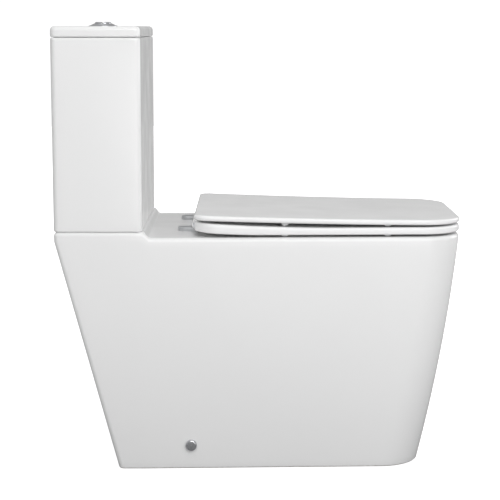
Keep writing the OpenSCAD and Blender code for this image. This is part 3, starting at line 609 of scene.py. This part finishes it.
def make_hollow():
    """The space inside the skirt, open below and behind, less the bowl, trapway, outlet and duct in it."""
    rings = []

    def space_ring(z, inset, front_r):
        return at_height(pan_outline(pan_front(z) + inset + 2, BACK_Y + 60, inset, front_r, 9), z)

    for z in np.concatenate([[-2.0], np.linspace(0, FOOT_R, 5), np.linspace(12, DECK_UNDER_Z - DECK_R, 34)]):
        low = 1 - np.clip(z / FOOT_R, 0, 1)
        rings.append(space_ring(z, SKIRT_WALL - FOOT_R * (1 - math.sqrt(1 - low**2)), CORNER_R - SKIRT_WALL))
    for c, s in quarter(8)[1:]:
        inset = SKIRT_WALL + DECK_R * c
        rings.append(space_ring(DECK_UNDER_Z - DECK_R * s, inset, CORNER_R - inset))
    hollow = wear(add_mesh("hollow", *skin(rings)), DRY_GLAZE)
    around = np.linspace(0, 2 * np.pi, 96, endpoint=False)
    rings = [at_height(bowl_ring(depth, 12, around), RIM_Z - depth) for depth in np.linspace(12, 284, 40)]
    rings += closing(rings[-1], 22, 8)
    boss = [(50, 344), (54.2, 345.8), (56, 350), (56, 395)]
    shapes = [
        ("bowl_back", skin(rings)),
        ("trap_outside", trapway(42)),
        ("outlet_outside", outlet_outside()),
        ("duct_outside", duct(38, 20, 8, 50, VALVE_Y)),
        ("duct_boss", turned(boss, (0, VALVE_Y, 0), whole=False)),
    ]
    solids = [wear(add_mesh(name, *shape), DRY_GLAZE) for name, shape in shapes]
    return carve(hollow, solids, "DIFFERENCE")


def make_waterways():
    """What is cut through the ceramic: trapway, outlet bore, flush duct, its seat, and two notches for the supply."""
    cuts = [wear(add_mesh("trap_bore", *trapway(32)), GLAZE)]
    bore = turned([(44, 198), (44, 276), (47, 284), (47, 290)], (0, 0, OUTLET_Z), whole=False, axis="y")
    cuts.append(wear(add_mesh("outlet_bore", *bore), DRY_GLAZE))
    cuts.append(wear(add_mesh("duct_bore", *duct(28, 10, 8, 15, VALVE_Y)), GLAZE))
    inlet = [(30, 356), (30, 385), (46.5, 386), (46.5, 409), (48, 411), (48, 420)]
    cuts.append(wear(add_mesh("inlet_bore", *turned(inlet, (0, VALVE_Y, 0), whole=False)), GLAZE))
    for side in (-1, 1):
        half = arc(0, 0, 28, -90, 0, 14)
        plan = both_halves(np.concatenate([half, straight((28, 0), (28, 100), 6), [[28, 100], [0, 100]]]))
        plan = plan + [side * 125, VALVE_Y]
        rings = [at_height(plan, z) for z in (DECK_UNDER_Z - 10, PLATFORM_Z + 10)]
        cuts.append(wear(add_mesh("supply_notch", *skin(rings)), GLAZE))
    return cuts


def trapway(r):
    """A round pipe along three bends in the middle plane: down from the sump, over the weir, level to the outlet.

    Each bend is an arc of travel angle; a ring stands square to the travel. The start is a round nose."""

    def bend(middle, radius, start, end, n):
        a = np.radians(np.linspace(start, end, n))
        side = 1 if end > start else -1
        return np.stack([middle[0] + side * radius * np.sin(a), middle[1] - side * radius * np.cos(a), a], -1)

    line = np.concatenate(
        [
            bend((-55, OUTLET_Z + 5), 70, -40, 60, 26),
            bend((86.5, OUTLET_Z - 10), 60, 60, -40, 26),
            bend((189.9, OUTLET_Z + 60), 60, -40, 0, 12),
            [[209.9, OUTLET_Z, 0]],
        ]
    )
    size = np.full(len(line), float(r))
    nose = np.linspace(np.pi / 2, 0, 9)[1:-1]
    first = line[0]
    back = np.stack(
        [
            first[0] - 0.8 * r * np.sin(nose) * np.cos(first[2]),
            first[1] - 0.8 * r * np.sin(nose) * np.sin(first[2]),
            np.full(len(nose), first[2]),
        ],
        -1,
    )
    line = np.concatenate([back, line])
    size = np.concatenate([r * np.cos(nose), size])[:, None]
    a = np.linspace(0, 2 * np.pi, 72, endpoint=False)
    across, up = size * np.cos(a), size * np.sin(a)
    rings = np.stack(
        [
            across,
            line[:, :1] - up * np.sin(line[:, 2:3]),
            line[:, 1:2] + up * np.cos(line[:, 2:3]),
        ],
        -1,
    )
    return skin(rings)


def outlet_outside():
    """The outlet spigot: a level tube with a shallow bead near its end and a rounded lip."""
    tube = [(40, 180), (51, 186), (51, 262)]
    bead = [(50.2, 263.5), (50.2, 267.5), (51, 269), (51, 278)]
    lip = [(50, 281), (47, 282)]
    return turned(tube + bead + lip, (0, 0, OUTLET_Z), whole=False, axis="y")


def duct(half_x, half_z, r, from_y, to_y):
    """The flush duct: a rounded rectangle under the deck carried straight along the depth."""
    plan = rounded_rectangle(half_x, half_z, r, corner=7, side_x=4, side_y=3)
    across, up = plan[:, 0], plan[:, 1] + DECK_UNDER_Z - 12
    return skin([np.column_stack([across, np.full(len(plan), y), up]) for y in np.linspace(from_y, to_y, 12)])


place(make_pan(), "toilet", "ceramic", "pan")

# ---------------------------------------------------------------- cistern and its lid


def tank_ring(inset, r, z):
    """The cistern's rounded rectangle, inset and lifted."""
    half_x = (tank_high[0] - tank_low[0]) / 2 - inset
    half_y = (tank_high[1] - tank_low[1]) / 2 - inset
    plan = rounded_rectangle(half_x, half_y, max(r, 0.8), corner=11, side_x=30, side_y=16)
    return at_height(plan + [0, (tank_high[1] + tank_low[1]) / 2], z)


def make_tank():
    """Outside up, over a round rim, and down the inside, with round corners at foot and floor; then the wall holes."""
    low, high = tank_low[2], tank_high[2]
    wall, inner_r, lip_r, floor_r = 12, 6, 2, 8
    floor = low + 14
    edge = TANK_EDGE_R
    rings = [tank_ring(edge * s, TANK_R - edge * s, low + edge * c) for c, s in quarter(8)]
    rings += [tank_ring(0, TANK_R, z) for z in np.linspace(low + edge, high - edge, 34)[1:]]
    rings += [tank_ring(edge * c, TANK_R - edge * c, high - edge * s) for c, s in quarter(8)[1:]]
    rings += [tank_ring(wall - lip_r * s, inner_r, high - lip_r * c) for c, s in quarter(6)]
    rings += [tank_ring(wall, inner_r, z) for z in np.linspace(high - lip_r, floor + floor_r, 24)[1:]]
    rings += [tank_ring(wall + floor_r * c, inner_r + 2 * c, floor + floor_r * s) for c, s in quarter(8)[1:]]
    tank = wear(add_mesh("tank_glazed", *skin(rings)), GLAZE)
    hole = [(4.5, BACK_Y - 20), (4.5, BACK_Y - 1.2), (5.7, BACK_Y), (5.7, BACK_Y + 4)]
    holes = []
    for side in (-1, 1):
        shape = turned(hole, (side * 130, 0, high - 32), steps=48, whole=False, axis="y")
        holes.append(wear(add_mesh("wall_hole", *shape), DRY_GLAZE))
    return carve(tank, holes, "DIFFERENCE")


def make_tank_lid():
    """From the button hole out over the top, a full round edge, down the side, and back in under the lip."""
    low, high = TANK_TOP_Z, tank_lid_high[2]
    edge = 7.5
    hole_r = 20.0
    rings = []

    def toward_hole(ring, t, z):
        centre = np.array([0, VALVE_Y])
        a = np.arctan2(ring[:, 1] - centre[1], ring[:, 0] - centre[0])
        circle = centre + hole_r * np.stack([np.cos(a), np.sin(a)], -1)
        return at_height(circle * (1 - t) + ring[:, :2] * t, z)

    top = tank_ring(edge, TANK_R - edge, high)
    for t in np.linspace(0, 1, 22)[:-1]:
        rings.append(toward_hole(top, t, high))
    foot_r = TANK_EDGE_R
    rings += [tank_ring(edge * c, TANK_R - edge * c, high - edge * s) for c, s in quarter(12)[::-1]]
    rings += [tank_ring(0, TANK_R, z) for z in np.linspace(high - edge, low + foot_r, 7)[1:]]
    rings += [tank_ring(foot_r * c, TANK_R - foot_r * c, low + foot_r * s) for c, s in quarter(8)[1:]]
    rings += [tank_ring(i, 6, low) for i in (6, 11, 14.5)]
    rings += [tank_ring(14.5, 5, z) for z in (low - 3, low - 6.5)]
    for inset, r, drop in ((15.3, 5, 7.6), (16.3, 4.4, 8), (17.5, 4, 7.6), (18.4, 4, 6.5)):
        rings.append(tank_ring(inset, r, low - drop))
    under = high - 10
    rings += [tank_ring(18.5, 4, z) for z in (low - 3, low + 2, under - 4)]
    rings += [tank_ring(19.7, 4, under - 1.2), tank_ring(22.5, 4, under)]
    flat = tank_ring(22.5, 4, under)
    for t in np.linspace(1, 0, 12)[1:]:
        rings.append(toward_hole(flat, t, under))
    rings += [toward_hole(top, 0, z) for z in np.linspace(under, high, 4)[1:-1]]
    return wear(add_mesh("tank_lid_glazed", *hoop(rings)), GLAZE)


place(make_tank(), "toilet", "ceramic", "cistern")
place(make_tank_lid(), "tank_lid", "ceramic", "cistern_lid")

# ---------------------------------------------------------------- seat and lid


def lid_outline(inset, front, back, back_r):
    """The lid from above: the pan's front corners, its tapering sides, and its own round back corners."""
    cy = front + CORNER_R - inset
    r = CORNER_R - inset
    cx = half_width(FRONT_Y + CORNER_R) - inset - r
    bx = half_width(back) - inset - (back_r - inset)
    rr = back_r - inset
    half = np.concatenate(
        [
            [[0, front]],
            straight((0, front), (cx, front), 12),
            arc(cx, cy, r, -90, 0, 30),
            straight((cx + r, cy), (bx + rr, back - rr), 60),
            arc(bx, back - rr, rr, 0, 90, 18),
            straight((bx, back), (0, back), 20),
            [[0, back]],
        ]
    )
    return both_halves(half)


def lid_top(y):
    """Height of the lid's top: highest at the back, down a gentle slope that eases out to the front."""
    d = LID_BACK_Y - y
    return RIM_Z + 38.3 - 0.0385 * d + 0.0000366 * d**2


def seat_top(y):
    """Height of the seat's top: level in front, then a square climb towards the hinge, held at 25 mm."""
    soft = SEAT_LOW_Z + 12 + 0.00015 * np.maximum(0, y + 140) ** 2
    return np.minimum(soft, RIM_Z + 25)


def seat_low(y):
    """Height of the seat's underside: level to its middle, then a square lift of 5 mm by the hinge."""
    return SEAT_LOW_Z + 5 * (np.maximum(0, y + 11) / 116) ** 2


def make_lid():
    """Under face, round lower edge, wall, round upper edge and top, each ring an inset of the outline."""
    low_r, high_r = 3.2, 3.8
    centre = np.array([0, -118.0])

    def ring(inset, lift, from_top):
        plan = lid_outline(inset, FRONT_Y + inset, LID_BACK_Y - inset, 22)
        base = lid_top(plan[:, 1])
        return at_height(plan, base - lift if from_top else base - LID_T + lift)

    def inner(outer, share, from_top):
        plan = centre + (outer[:, :2] - centre) * share
        return at_height(plan, lid_top(plan[:, 1]) - (0 if from_top else LID_T))

    under = ring(low_r, 0, False)
    rings = [inner(under, share, False) for share in np.linspace(0.04, 1, 22)[:-1]]
    rings += [ring(low_r * s, low_r * c, False) for c, s in quarter(9)]
    rings += [ring(high_r * c, high_r * s, True) for c, s in quarter(11)]
    over = rings[-1]
    rings += [inner(over, share, True) for share in np.linspace(1, 0.04, 26)[1:]]
    return wear(add_mesh("seat_lid_smooth", *skin(rings)), SEAT_WHITE)


def knuckle(name, x0, x1, web_back, web_top, toward_front):
    """A hinge barrel with a web: a drop-shaped profile round the axis, carried across with rounded ends."""
    if toward_front:
        half = [(web_back, -5.0), (web_back, 5.0)]
        profile = np.concatenate([arc(0, 0, 6.4, -90, 90, 24), [(0, 6.4)], [(-4, 5.4)], half[::-1], [(-4, -5.4)]])
    else:
        turn = arc(0, 0, 6.4, 150, 395, 34)
        profile = np.concatenate([turn, [(1.0, web_top), (-5.4, web_top)]])
    rings = []
    for x, shrink in ((x0, 0.86), (x0 + 0.5, 0.95), (x0 + 1.2, 1.0), (x1 - 1.2, 1.0), (x1 - 0.5, 0.95), (x1, 0.86)):
        rings.append(np.column_stack([np.full(len(profile), x), profile * shrink + [AXIS_Y, AXIS_Z]]))
    return add_mesh(name, *skin(rings), smooth=30)


def seat_outline(inset):
    """The seat's outer edge with its two hinge notches, their corners rounded."""
    back = SEAT_BACK_Y - inset
    near, far, deep = 38.9 - inset, 116.1 + inset, AXIS_Y - 9 - inset
    front = FRONT_Y + 0.5 + inset
    r = CORNER_R - 0.5 - inset
    cx = half_width(FRONT_Y + CORNER_R) - CORNER_R
    cy = FRONT_Y + CORNER_R
    rr = 42 - inset
    bx = half_width(SEAT_BACK_Y) - 0.5 - 42
    half = np.concatenate(
        [
            [[0, front]],
            straight((0, front), (cx, front), 12),
            arc(cx, cy, r, -90, 0, 30),
            straight((cx + r, cy), (bx + rr, back - rr), 60),
            arc(bx, back - rr, rr, 0, 62, 14),
        ]
    )
    tip = half[-1]
    notch = np.concatenate(
        [
            straight(tip, (far + 2.4, min(tip[1] + 0.6, back)), 6),
            arc(far + 2.4, min(tip[1] + 0.6, back) - 2.4, 2.4, 90, 180, 5),
            straight((far, tip[1] - 3), (far, deep + 3), 4),
            arc(far - 3, deep + 3, 3, 0, -90, 5),
            straight((far - 3, deep), (near + 3, deep), 16),
            arc(near + 3, deep + 3, 3, -90, -180, 5),
            straight((near, deep + 3), (near, back - 3), 4),
            arc(near - 3, back - 3, 3, 0, 90, 5),
            straight((near - 3, back), (0, back), 8),
            [[0, back]],
        ]
    )
    return both_halves(np.concatenate([half, notch]))


def make_seat():
    """A ring between the outline and an oval hole: round edges, and a top that dips to the hole.

    The underside is level to its middle, then lifts towards the hinge as seat_low does."""
    rings = []
    edge = seat_outline(0)
    centre = np.array([0, BOWL_Y + 4])
    angles = np.unwrap(np.arctan2(edge[:, 1] - centre[1], edge[:, 0] - centre[0]))
    angles = np.maximum.accumulate(angles)

    def hole(grow):
        return centre + squircle(112 + grow, 146 + grow, 2.5, angles)

    def lifted(plan, drop, dip):
        return at_height(plan, seat_top(plan[:, 1]) - drop - 2.2 * dip)

    under_r, top_r, hole_r = 2.6, 4.6, 6
    for share in np.linspace(0, 1, 9):
        plan = hole(under_r) * (1 - share) + seat_outline(under_r) * share
        rings.append(at_height(plan, seat_low(plan[:, 1])))
    for c, s in quarter(7)[1:]:
        plan = seat_outline(under_r * s)
        rings.append(at_height(plan, seat_low(plan[:, 1]) + under_r * c))
    for c, s in quarter(10):
        rings.append(lifted(seat_outline(top_r * c), top_r * s, 0))
    for share in np.linspace(1, 0, 22)[1:]:
        plan = hole(hole_r) * (1 - share) + seat_outline(top_r) * share
        rings.append(lifted(plan, 0, ease(1 - share)))
    for c, s in quarter(8)[1:]:
        rings.append(lifted(hole(hole_r * s), hole_r * c, 1))
    for c, s in quarter(6)[:-1]:
        plan = hole(under_r * c)
        rings.append(at_height(plan, seat_low(plan[:, 1]) + under_r * s))
    return wear(add_mesh("seat_ring_smooth", *hoop(rings)), SEAT_WHITE)


def make_buffers(name, side_gap, bottoms, tops):
    """Four domed pads, one at each end of each side: a stadium whose size shrinks as an ellipse towards its foot."""
    plan = squircle(4.0, PAD_HALF_L, 2.6, np.linspace(0, 2 * np.pi, 48, endpoint=False))
    pads = []
    for y, bottom, top in zip(PAD_YS, bottoms, tops):
        for side in (-1, 1):
            at = [side * (half_width(y) - side_gap), y]
            rings = []
            for u in np.linspace(0.08, np.pi / 2, 9):
                rings.append(at_height(plan * np.sin(u) ** 0.8 + at, top - (top - bottom) * np.cos(u) ** 0.9))
            rings.append(at_height(plan + at, top + 0.2))
            pads.append(skin(rings[::-1]))
    return wear(add_mesh(name, *joined(pads)), SOFT_WHITE)


LID = make_lid()
SEAT = make_seat()
seat_pads = make_buffers("seat_pads_domed", 14, [RIM_Z + 0.4] * 2, [buffer_high[2]] * 2)
place(seat_pads, "seat", "rubber", "seat_buffers")
lid_pads = make_buffers("lid_pads_domed", 16, seat_top(PAD_YS) + 0.4, lid_top(PAD_YS) - LID_T - 0.3)
place(lid_pads, "lid", "rubber", "seat_lid_buffers")
for sign, side in ((-1, "left"), (1, "right")):
    a, b = sorted((sign * (HINGE_X + 6.6), sign * (HINGE_X + 37.5)))
    arm = wear(knuckle("lid_knuckle_" + side, a, b, 0, lid_top(AXIS_Y) - LID_T - AXIS_Z + 0.6, False), SEAT_WHITE)
    place(arm, "lid", "seat_white")
    a, b = sorted((sign * (HINGE_X - 6.6), sign * (HINGE_X - 37.5)))
    arm = wear(knuckle("seat_knuckle_" + side, a, b, -10.2, 0, True), SEAT_WHITE)
    place(arm, "seat", "seat_white")
place(LID, "lid", "seat_white", "seat_lid")
place(SEAT, "seat", "seat_white", "seat_ring")

# ---------------------------------------------------------------- chrome


def make_collar():
    """The collar's profile turned: a low cone hollowed a little, a narrow level rim, and the barrel below."""
    low, high, foot = tank_lid_high[2], collar_high[2], collar_low[2]
    outer, inner = 26.0, 15.1
    s = np.linspace(0, 1, 14)[1:]
    cone = np.column_stack([25.6 + (16.6 - 25.6) * s, low + 0.8 + (high - low - 1.0) * s**1.25])
    profile = np.concatenate(
        [
            [[outer, low], [outer, low + 0.4], [25.8, low + 0.75]],
            cone,
            [[16.2, high], [inner + 0.5, high], [inner, high - 0.5], [inner, low - 5], [16.2, low - 7]],
            [[16.2, foot + 3], [6.0, foot + 3], [6.0, foot], [18.5, foot], [18.5, low]],
        ]
    )
    return wear(add_mesh("flush_collar", *turned(profile, (0, VALVE_Y, 0), steps=144), smooth=35), CHROME)


def make_half_button(name, side):
    """Half a disc, turned a quarter so its flat side faces the other button.

    Its top is flat, rounds down at the rim, and slopes into the valley by the flat side."""
    top, under = button_high[2], button_low[2]
    r, gap, valley = 14.7, 0.5, 2.6
    end = math.degrees(math.acos(gap / r))
    rim = arc(0, 0, r - 0.1, -end, end, 72)
    flat = straight((gap, rim[-1][1]), (gap, rim[0][1]), 40)
    edge = np.concatenate([rim, flat])
    middle = np.array([6.2, 0.0])

    def height(plan):
        out = np.hypot(plan[:, 0], plan[:, 1])
        round_off = 2.2 * (1 - np.sqrt(1 - np.clip((out - 12.0) / 2.6, 0, 1) ** 2))
        slope = valley * np.clip(1 - (plan[:, 0] - gap) / 3.0, 0, 1) ** 1.4
        return top - np.hypot(round_off, slope)

    rings = []
    for s in np.linspace(0.06, 1, 26):
        plan = middle + (edge - middle) * s
        rings.append(at_height(np.column_stack([-side * plan[:, 1], side * plan[:, 0]]), height(plan)))
    last = rings[-1]
    for t in (0.4, 1.0):
        ring = last.copy()
        ring[:, 2] = last[:, 2] * (1 - t) + under * t
        rings.append(ring)
    rings = np.array(rings) + [0, VALVE_Y, 0]
    return wear(add_mesh(name, *skin(rings), smooth=50), CHROME)


def make_side_cap(name, sign):
    """A domed push-on cap: a short wall, a round shoulder and a nearly flat crown, turned about the fixing."""
    y = (cap_low[1] + cap_high[1]) / 2
    z = (cap_low[2] + cap_high[2]) / 2
    x = cap_low[0]
    tall = cap_high[0] - cap_low[0]
    a = np.linspace(0, np.pi / 2, 14)
    dome = np.stack([7.0 + 2.9 * np.cos(a), 2.2 + (tall - 2.5) * np.sin(a)], -1)
    profile = np.concatenate([[[6.4, 0], [9.6, 0], [9.9, 0.5]], dome, [[4.0, tall - 0.1], [0.6, tall]]])
    inside = [[0.6, 4.1], [6.4, 4.1]]
    points, faces = turned(np.concatenate([profile, inside]), (0, 0, 0), steps=96, axis="x")
    points = (points + [x, y, z]) * [sign, 1, 1]
    return wear(add_mesh(name, points, faces, smooth=35), CHROME)


def make_hinge_base(name, sign):
    """A low plate with a round tail and soft top edge, and the post that carries the pin."""
    front, back, half = base_low[1], base_high[1], 12.0
    low, top = RIM_Z, RIM_Z + 7
    edge = 2.2

    def plan(inset):
        r, c = half - inset, 3.0
        shape = np.concatenate(
            [
                [[0, front + inset]],
                straight((0, front + inset), (half - inset - c, front + inset), 3),
                arc(half - inset - c, front + inset + c, c, -90, 0, 6),
                straight((half - inset, front + inset + c), (half - inset, back - half), 8),
                arc(0, back - half, r, 0, 90, 14),
            ]
        )
        return both_halves(shape)

    rings = [at_height(plan(0), z) for z in np.linspace(low, top - edge, 4)]
    rings += [at_height(plan(edge * c), top - edge * s) for c, s in quarter(8)[1:]]
    flat = rings[-1]
    mid = np.array([0, (front + back) / 2])
    rings += [at_height(mid + (flat[:, :2] - mid) * s, top) for s in (0.75, 0.45, 0.1)]
    head = arc(AXIS_Y, AXIS_Z, 6.4, -35, 215, 32)
    foot = [[AXIS_Y - 6, top - 1], [AXIS_Y + 6, top - 1]]
    side = np.concatenate([head, foot])
    post = []
    core = np.array([AXIS_Y, AXIS_Z - 3])
    for x, shrink in ((-6, 0.88), (-5.6, 0.955), (-4.8, 1.0), (4.8, 1.0), (5.6, 0.955), (6, 0.88)):
        ring = core + (side - core) * shrink
        post.append(np.column_stack([np.full(len(ring), x), ring]))
    points, faces = joined([skin(rings), skin(post)])
    return wear(add_mesh(name, (points + [HINGE_X, 0, 0]) * [sign, 1, 1], faces, smooth=32), SATIN)


place(make_collar(), "tank_lid", "chrome", "button_collar")
place(make_half_button("full_flush_key", 1), "full_button", "chrome", "full_flush_button")
place(make_half_button("half_flush_key", -1), "half_button", "chrome", "half_flush_button")
for sign, side in ((-1, "left"), (1, "right")):
    place(make_side_cap("side_cap_dome_" + side, sign), "toilet", "chrome", "side_cap_" + side)
    place(make_hinge_base("hinge_plate_" + side, sign), "toilet", "chrome", "hinge_base_" + side)

# ---------------------------------------------------------------- the fittings that stay as the part's own solids

FITTINGS = {
    STEEL: ["side_fixing_screws", "hinge_studs", "hinge_pins", "seat_dampers", "seat_lid_dampers", "cistern_bolts",
            "cistern_bolt_washers", "rocker_pin", "fill_lever_pin", "full_flush_spring", "half_flush_spring"],
    RUBBER: ["hinge_cone_washers", "coupling_gasket", "cistern_bolt_seals", "flush_valve_washer", "flush_seal",
             "fill_valve_washer"],
    SOFT_WHITE: ["cistern_lid_pads"],
    WHITE_PLASTIC: ["floor_brackets", "hinge_wing_nuts", "cistern_wing_nuts", "flush_valve_base",
                    "flush_valve_backnut", "flush_lift_tube", "fill_valve_body", "fill_valve_backnut",
                    "fill_outlet_tube", "blanking_plug", "blanking_nut", "button_clamp_nut", "full_flush_rod",
                    "half_flush_rod"],
    BLUE_PLASTIC: ["flush_valve_tower", "full_flush_rocker", "half_flush_rocker", "fill_float", "fill_lever"],
}
for finish, names in FITTINGS.items():
    for name in names:
        wear(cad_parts[name], finish)

# ---------------------------------------------------------------- floor, light and camera


def make_floor():
    """A wide round floor, plain white from above, darker under the object so that less light is thrown back up."""
    a = np.linspace(0, 2 * np.pi, 96, endpoint=False)
    points = np.column_stack([9000 * np.cos(a), 9000 * np.sin(a), np.full(96, -0.4)])
    floor = add_mesh("floor", points, [list(range(96))])
    finish, tree, shader = new_finish("floor_white")
    where = patch(tree, "ShaderNodeTexCoord")
    far = patch(tree, "ShaderNodeVectorMath", [(where.outputs["Object"], 0)], operation="LENGTH")
    reach = patch(tree, "ShaderNodeMapRange", [(far.outputs["Value"], "Value")], From_Min=0.3, From_Max=2.2)
    shade = blend_colours(tree, reach.outputs[0], (0.28, 0.28, 0.28), (0.8, 0.8, 0.8))
    tree.links.new(shade, shader.inputs["Base Color"])
    shader.inputs["Roughness"].default_value = 0.9
    shader.inputs["Emission Color"].default_value = (1, 1, 1, 1)
    path = patch(tree, "ShaderNodeLightPath")
    glow = between(tree, path.outputs["Is Camera Ray"], 0.0, 1.0)
    tree.links.new(glow, shader.inputs["Emission Strength"])
    wear(floor, finish)


def make_sky():
    """White to the camera; to everything else, bright overhead and dimmer towards and below the horizon."""
    world = bpy.data.worlds.new("studio")
    bpy.context.scene.world = world
    world.use_nodes = True
    tree = world.node_tree
    tree.nodes.clear()
    where = patch(tree, "ShaderNodeTexCoord")
    split = patch(tree, "ShaderNodeSeparateXYZ", [(where.outputs["Generated"], "Vector")])
    high = patch(tree, "ShaderNodeMapRange", [(split.outputs["Z"], "Value")],
                 From_Min=-0.2, From_Max=0.9, To_Min=0.34, To_Max=0.54)
    light = patch(tree, "ShaderNodeBackground", [(high.outputs[0], "Strength")], Color=(1, 1, 1, 1))
    white = patch(tree, "ShaderNodeBackground", Color=(1, 1, 1, 1), Strength=1.05)
    path = patch(tree, "ShaderNodeLightPath")
    mix = patch(tree, "ShaderNodeMixShader",
                [(path.outputs["Is Camera Ray"], 0), (light.outputs[0], 1), (white.outputs[0], 2)])
    patch(tree, "ShaderNodeOutputWorld", [(mix.outputs[0], "Surface")])


def add_light(name, at, aim, size, power):
    """A soft square light at one place, facing another."""
    data = bpy.data.lights.new(name, "AREA")
    data.shape = "RECTANGLE"
    data.size, data.size_y = size
    data.energy = power
    made = bpy.data.objects.new(name, data)
    made.location = at
    made.rotation_euler = (Vector(aim) - Vector(at)).to_track_quat("-Z", "Y").to_euler()
    bpy.context.scene.collection.objects.link(made)


def add_camera():
    """A long lens square to the left side, a little above the cistern, tilted down 8.42 degrees."""
    data = bpy.data.cameras.new("camera")
    data.lens = 108
    data.sensor_width = 36
    data.clip_end = 100
    made = bpy.data.objects.new("camera", data)
    tilt, turn = math.radians(8.42), math.radians(0.134)
    forward = Vector((math.cos(tilt) * math.cos(turn), -math.cos(tilt) * math.sin(turn), -math.sin(tilt)))
    made.location = (-2.678, 0.022, 0.750)
    made.rotation_euler = forward.to_track_quat("-Z", "Y").to_euler()
    bpy.context.scene.collection.objects.link(made)
    bpy.context.scene.camera = made


make_floor()
make_sky()
add_light("side_softbox", (-1.9, -0.5, 1.6), (0, 0, 0.3), (1.8, 1.6), 24)
add_light("low_softbox", (-3.3, -0.9, 0.3), (0, 0, 0.3), (3.0, 0.7), 11)
add_light("front_softbox", (1.5, -2.6, 1.3), (0, 0, 0.5), (1.6, 1.6), 17)
add_light("top_softbox", (0.0, 0.2, 3.2), (0, 0, 0.3), (4.4, 4.4), 12)
add_camera()
bpy.context.scene.view_settings.view_transform = "Standard"
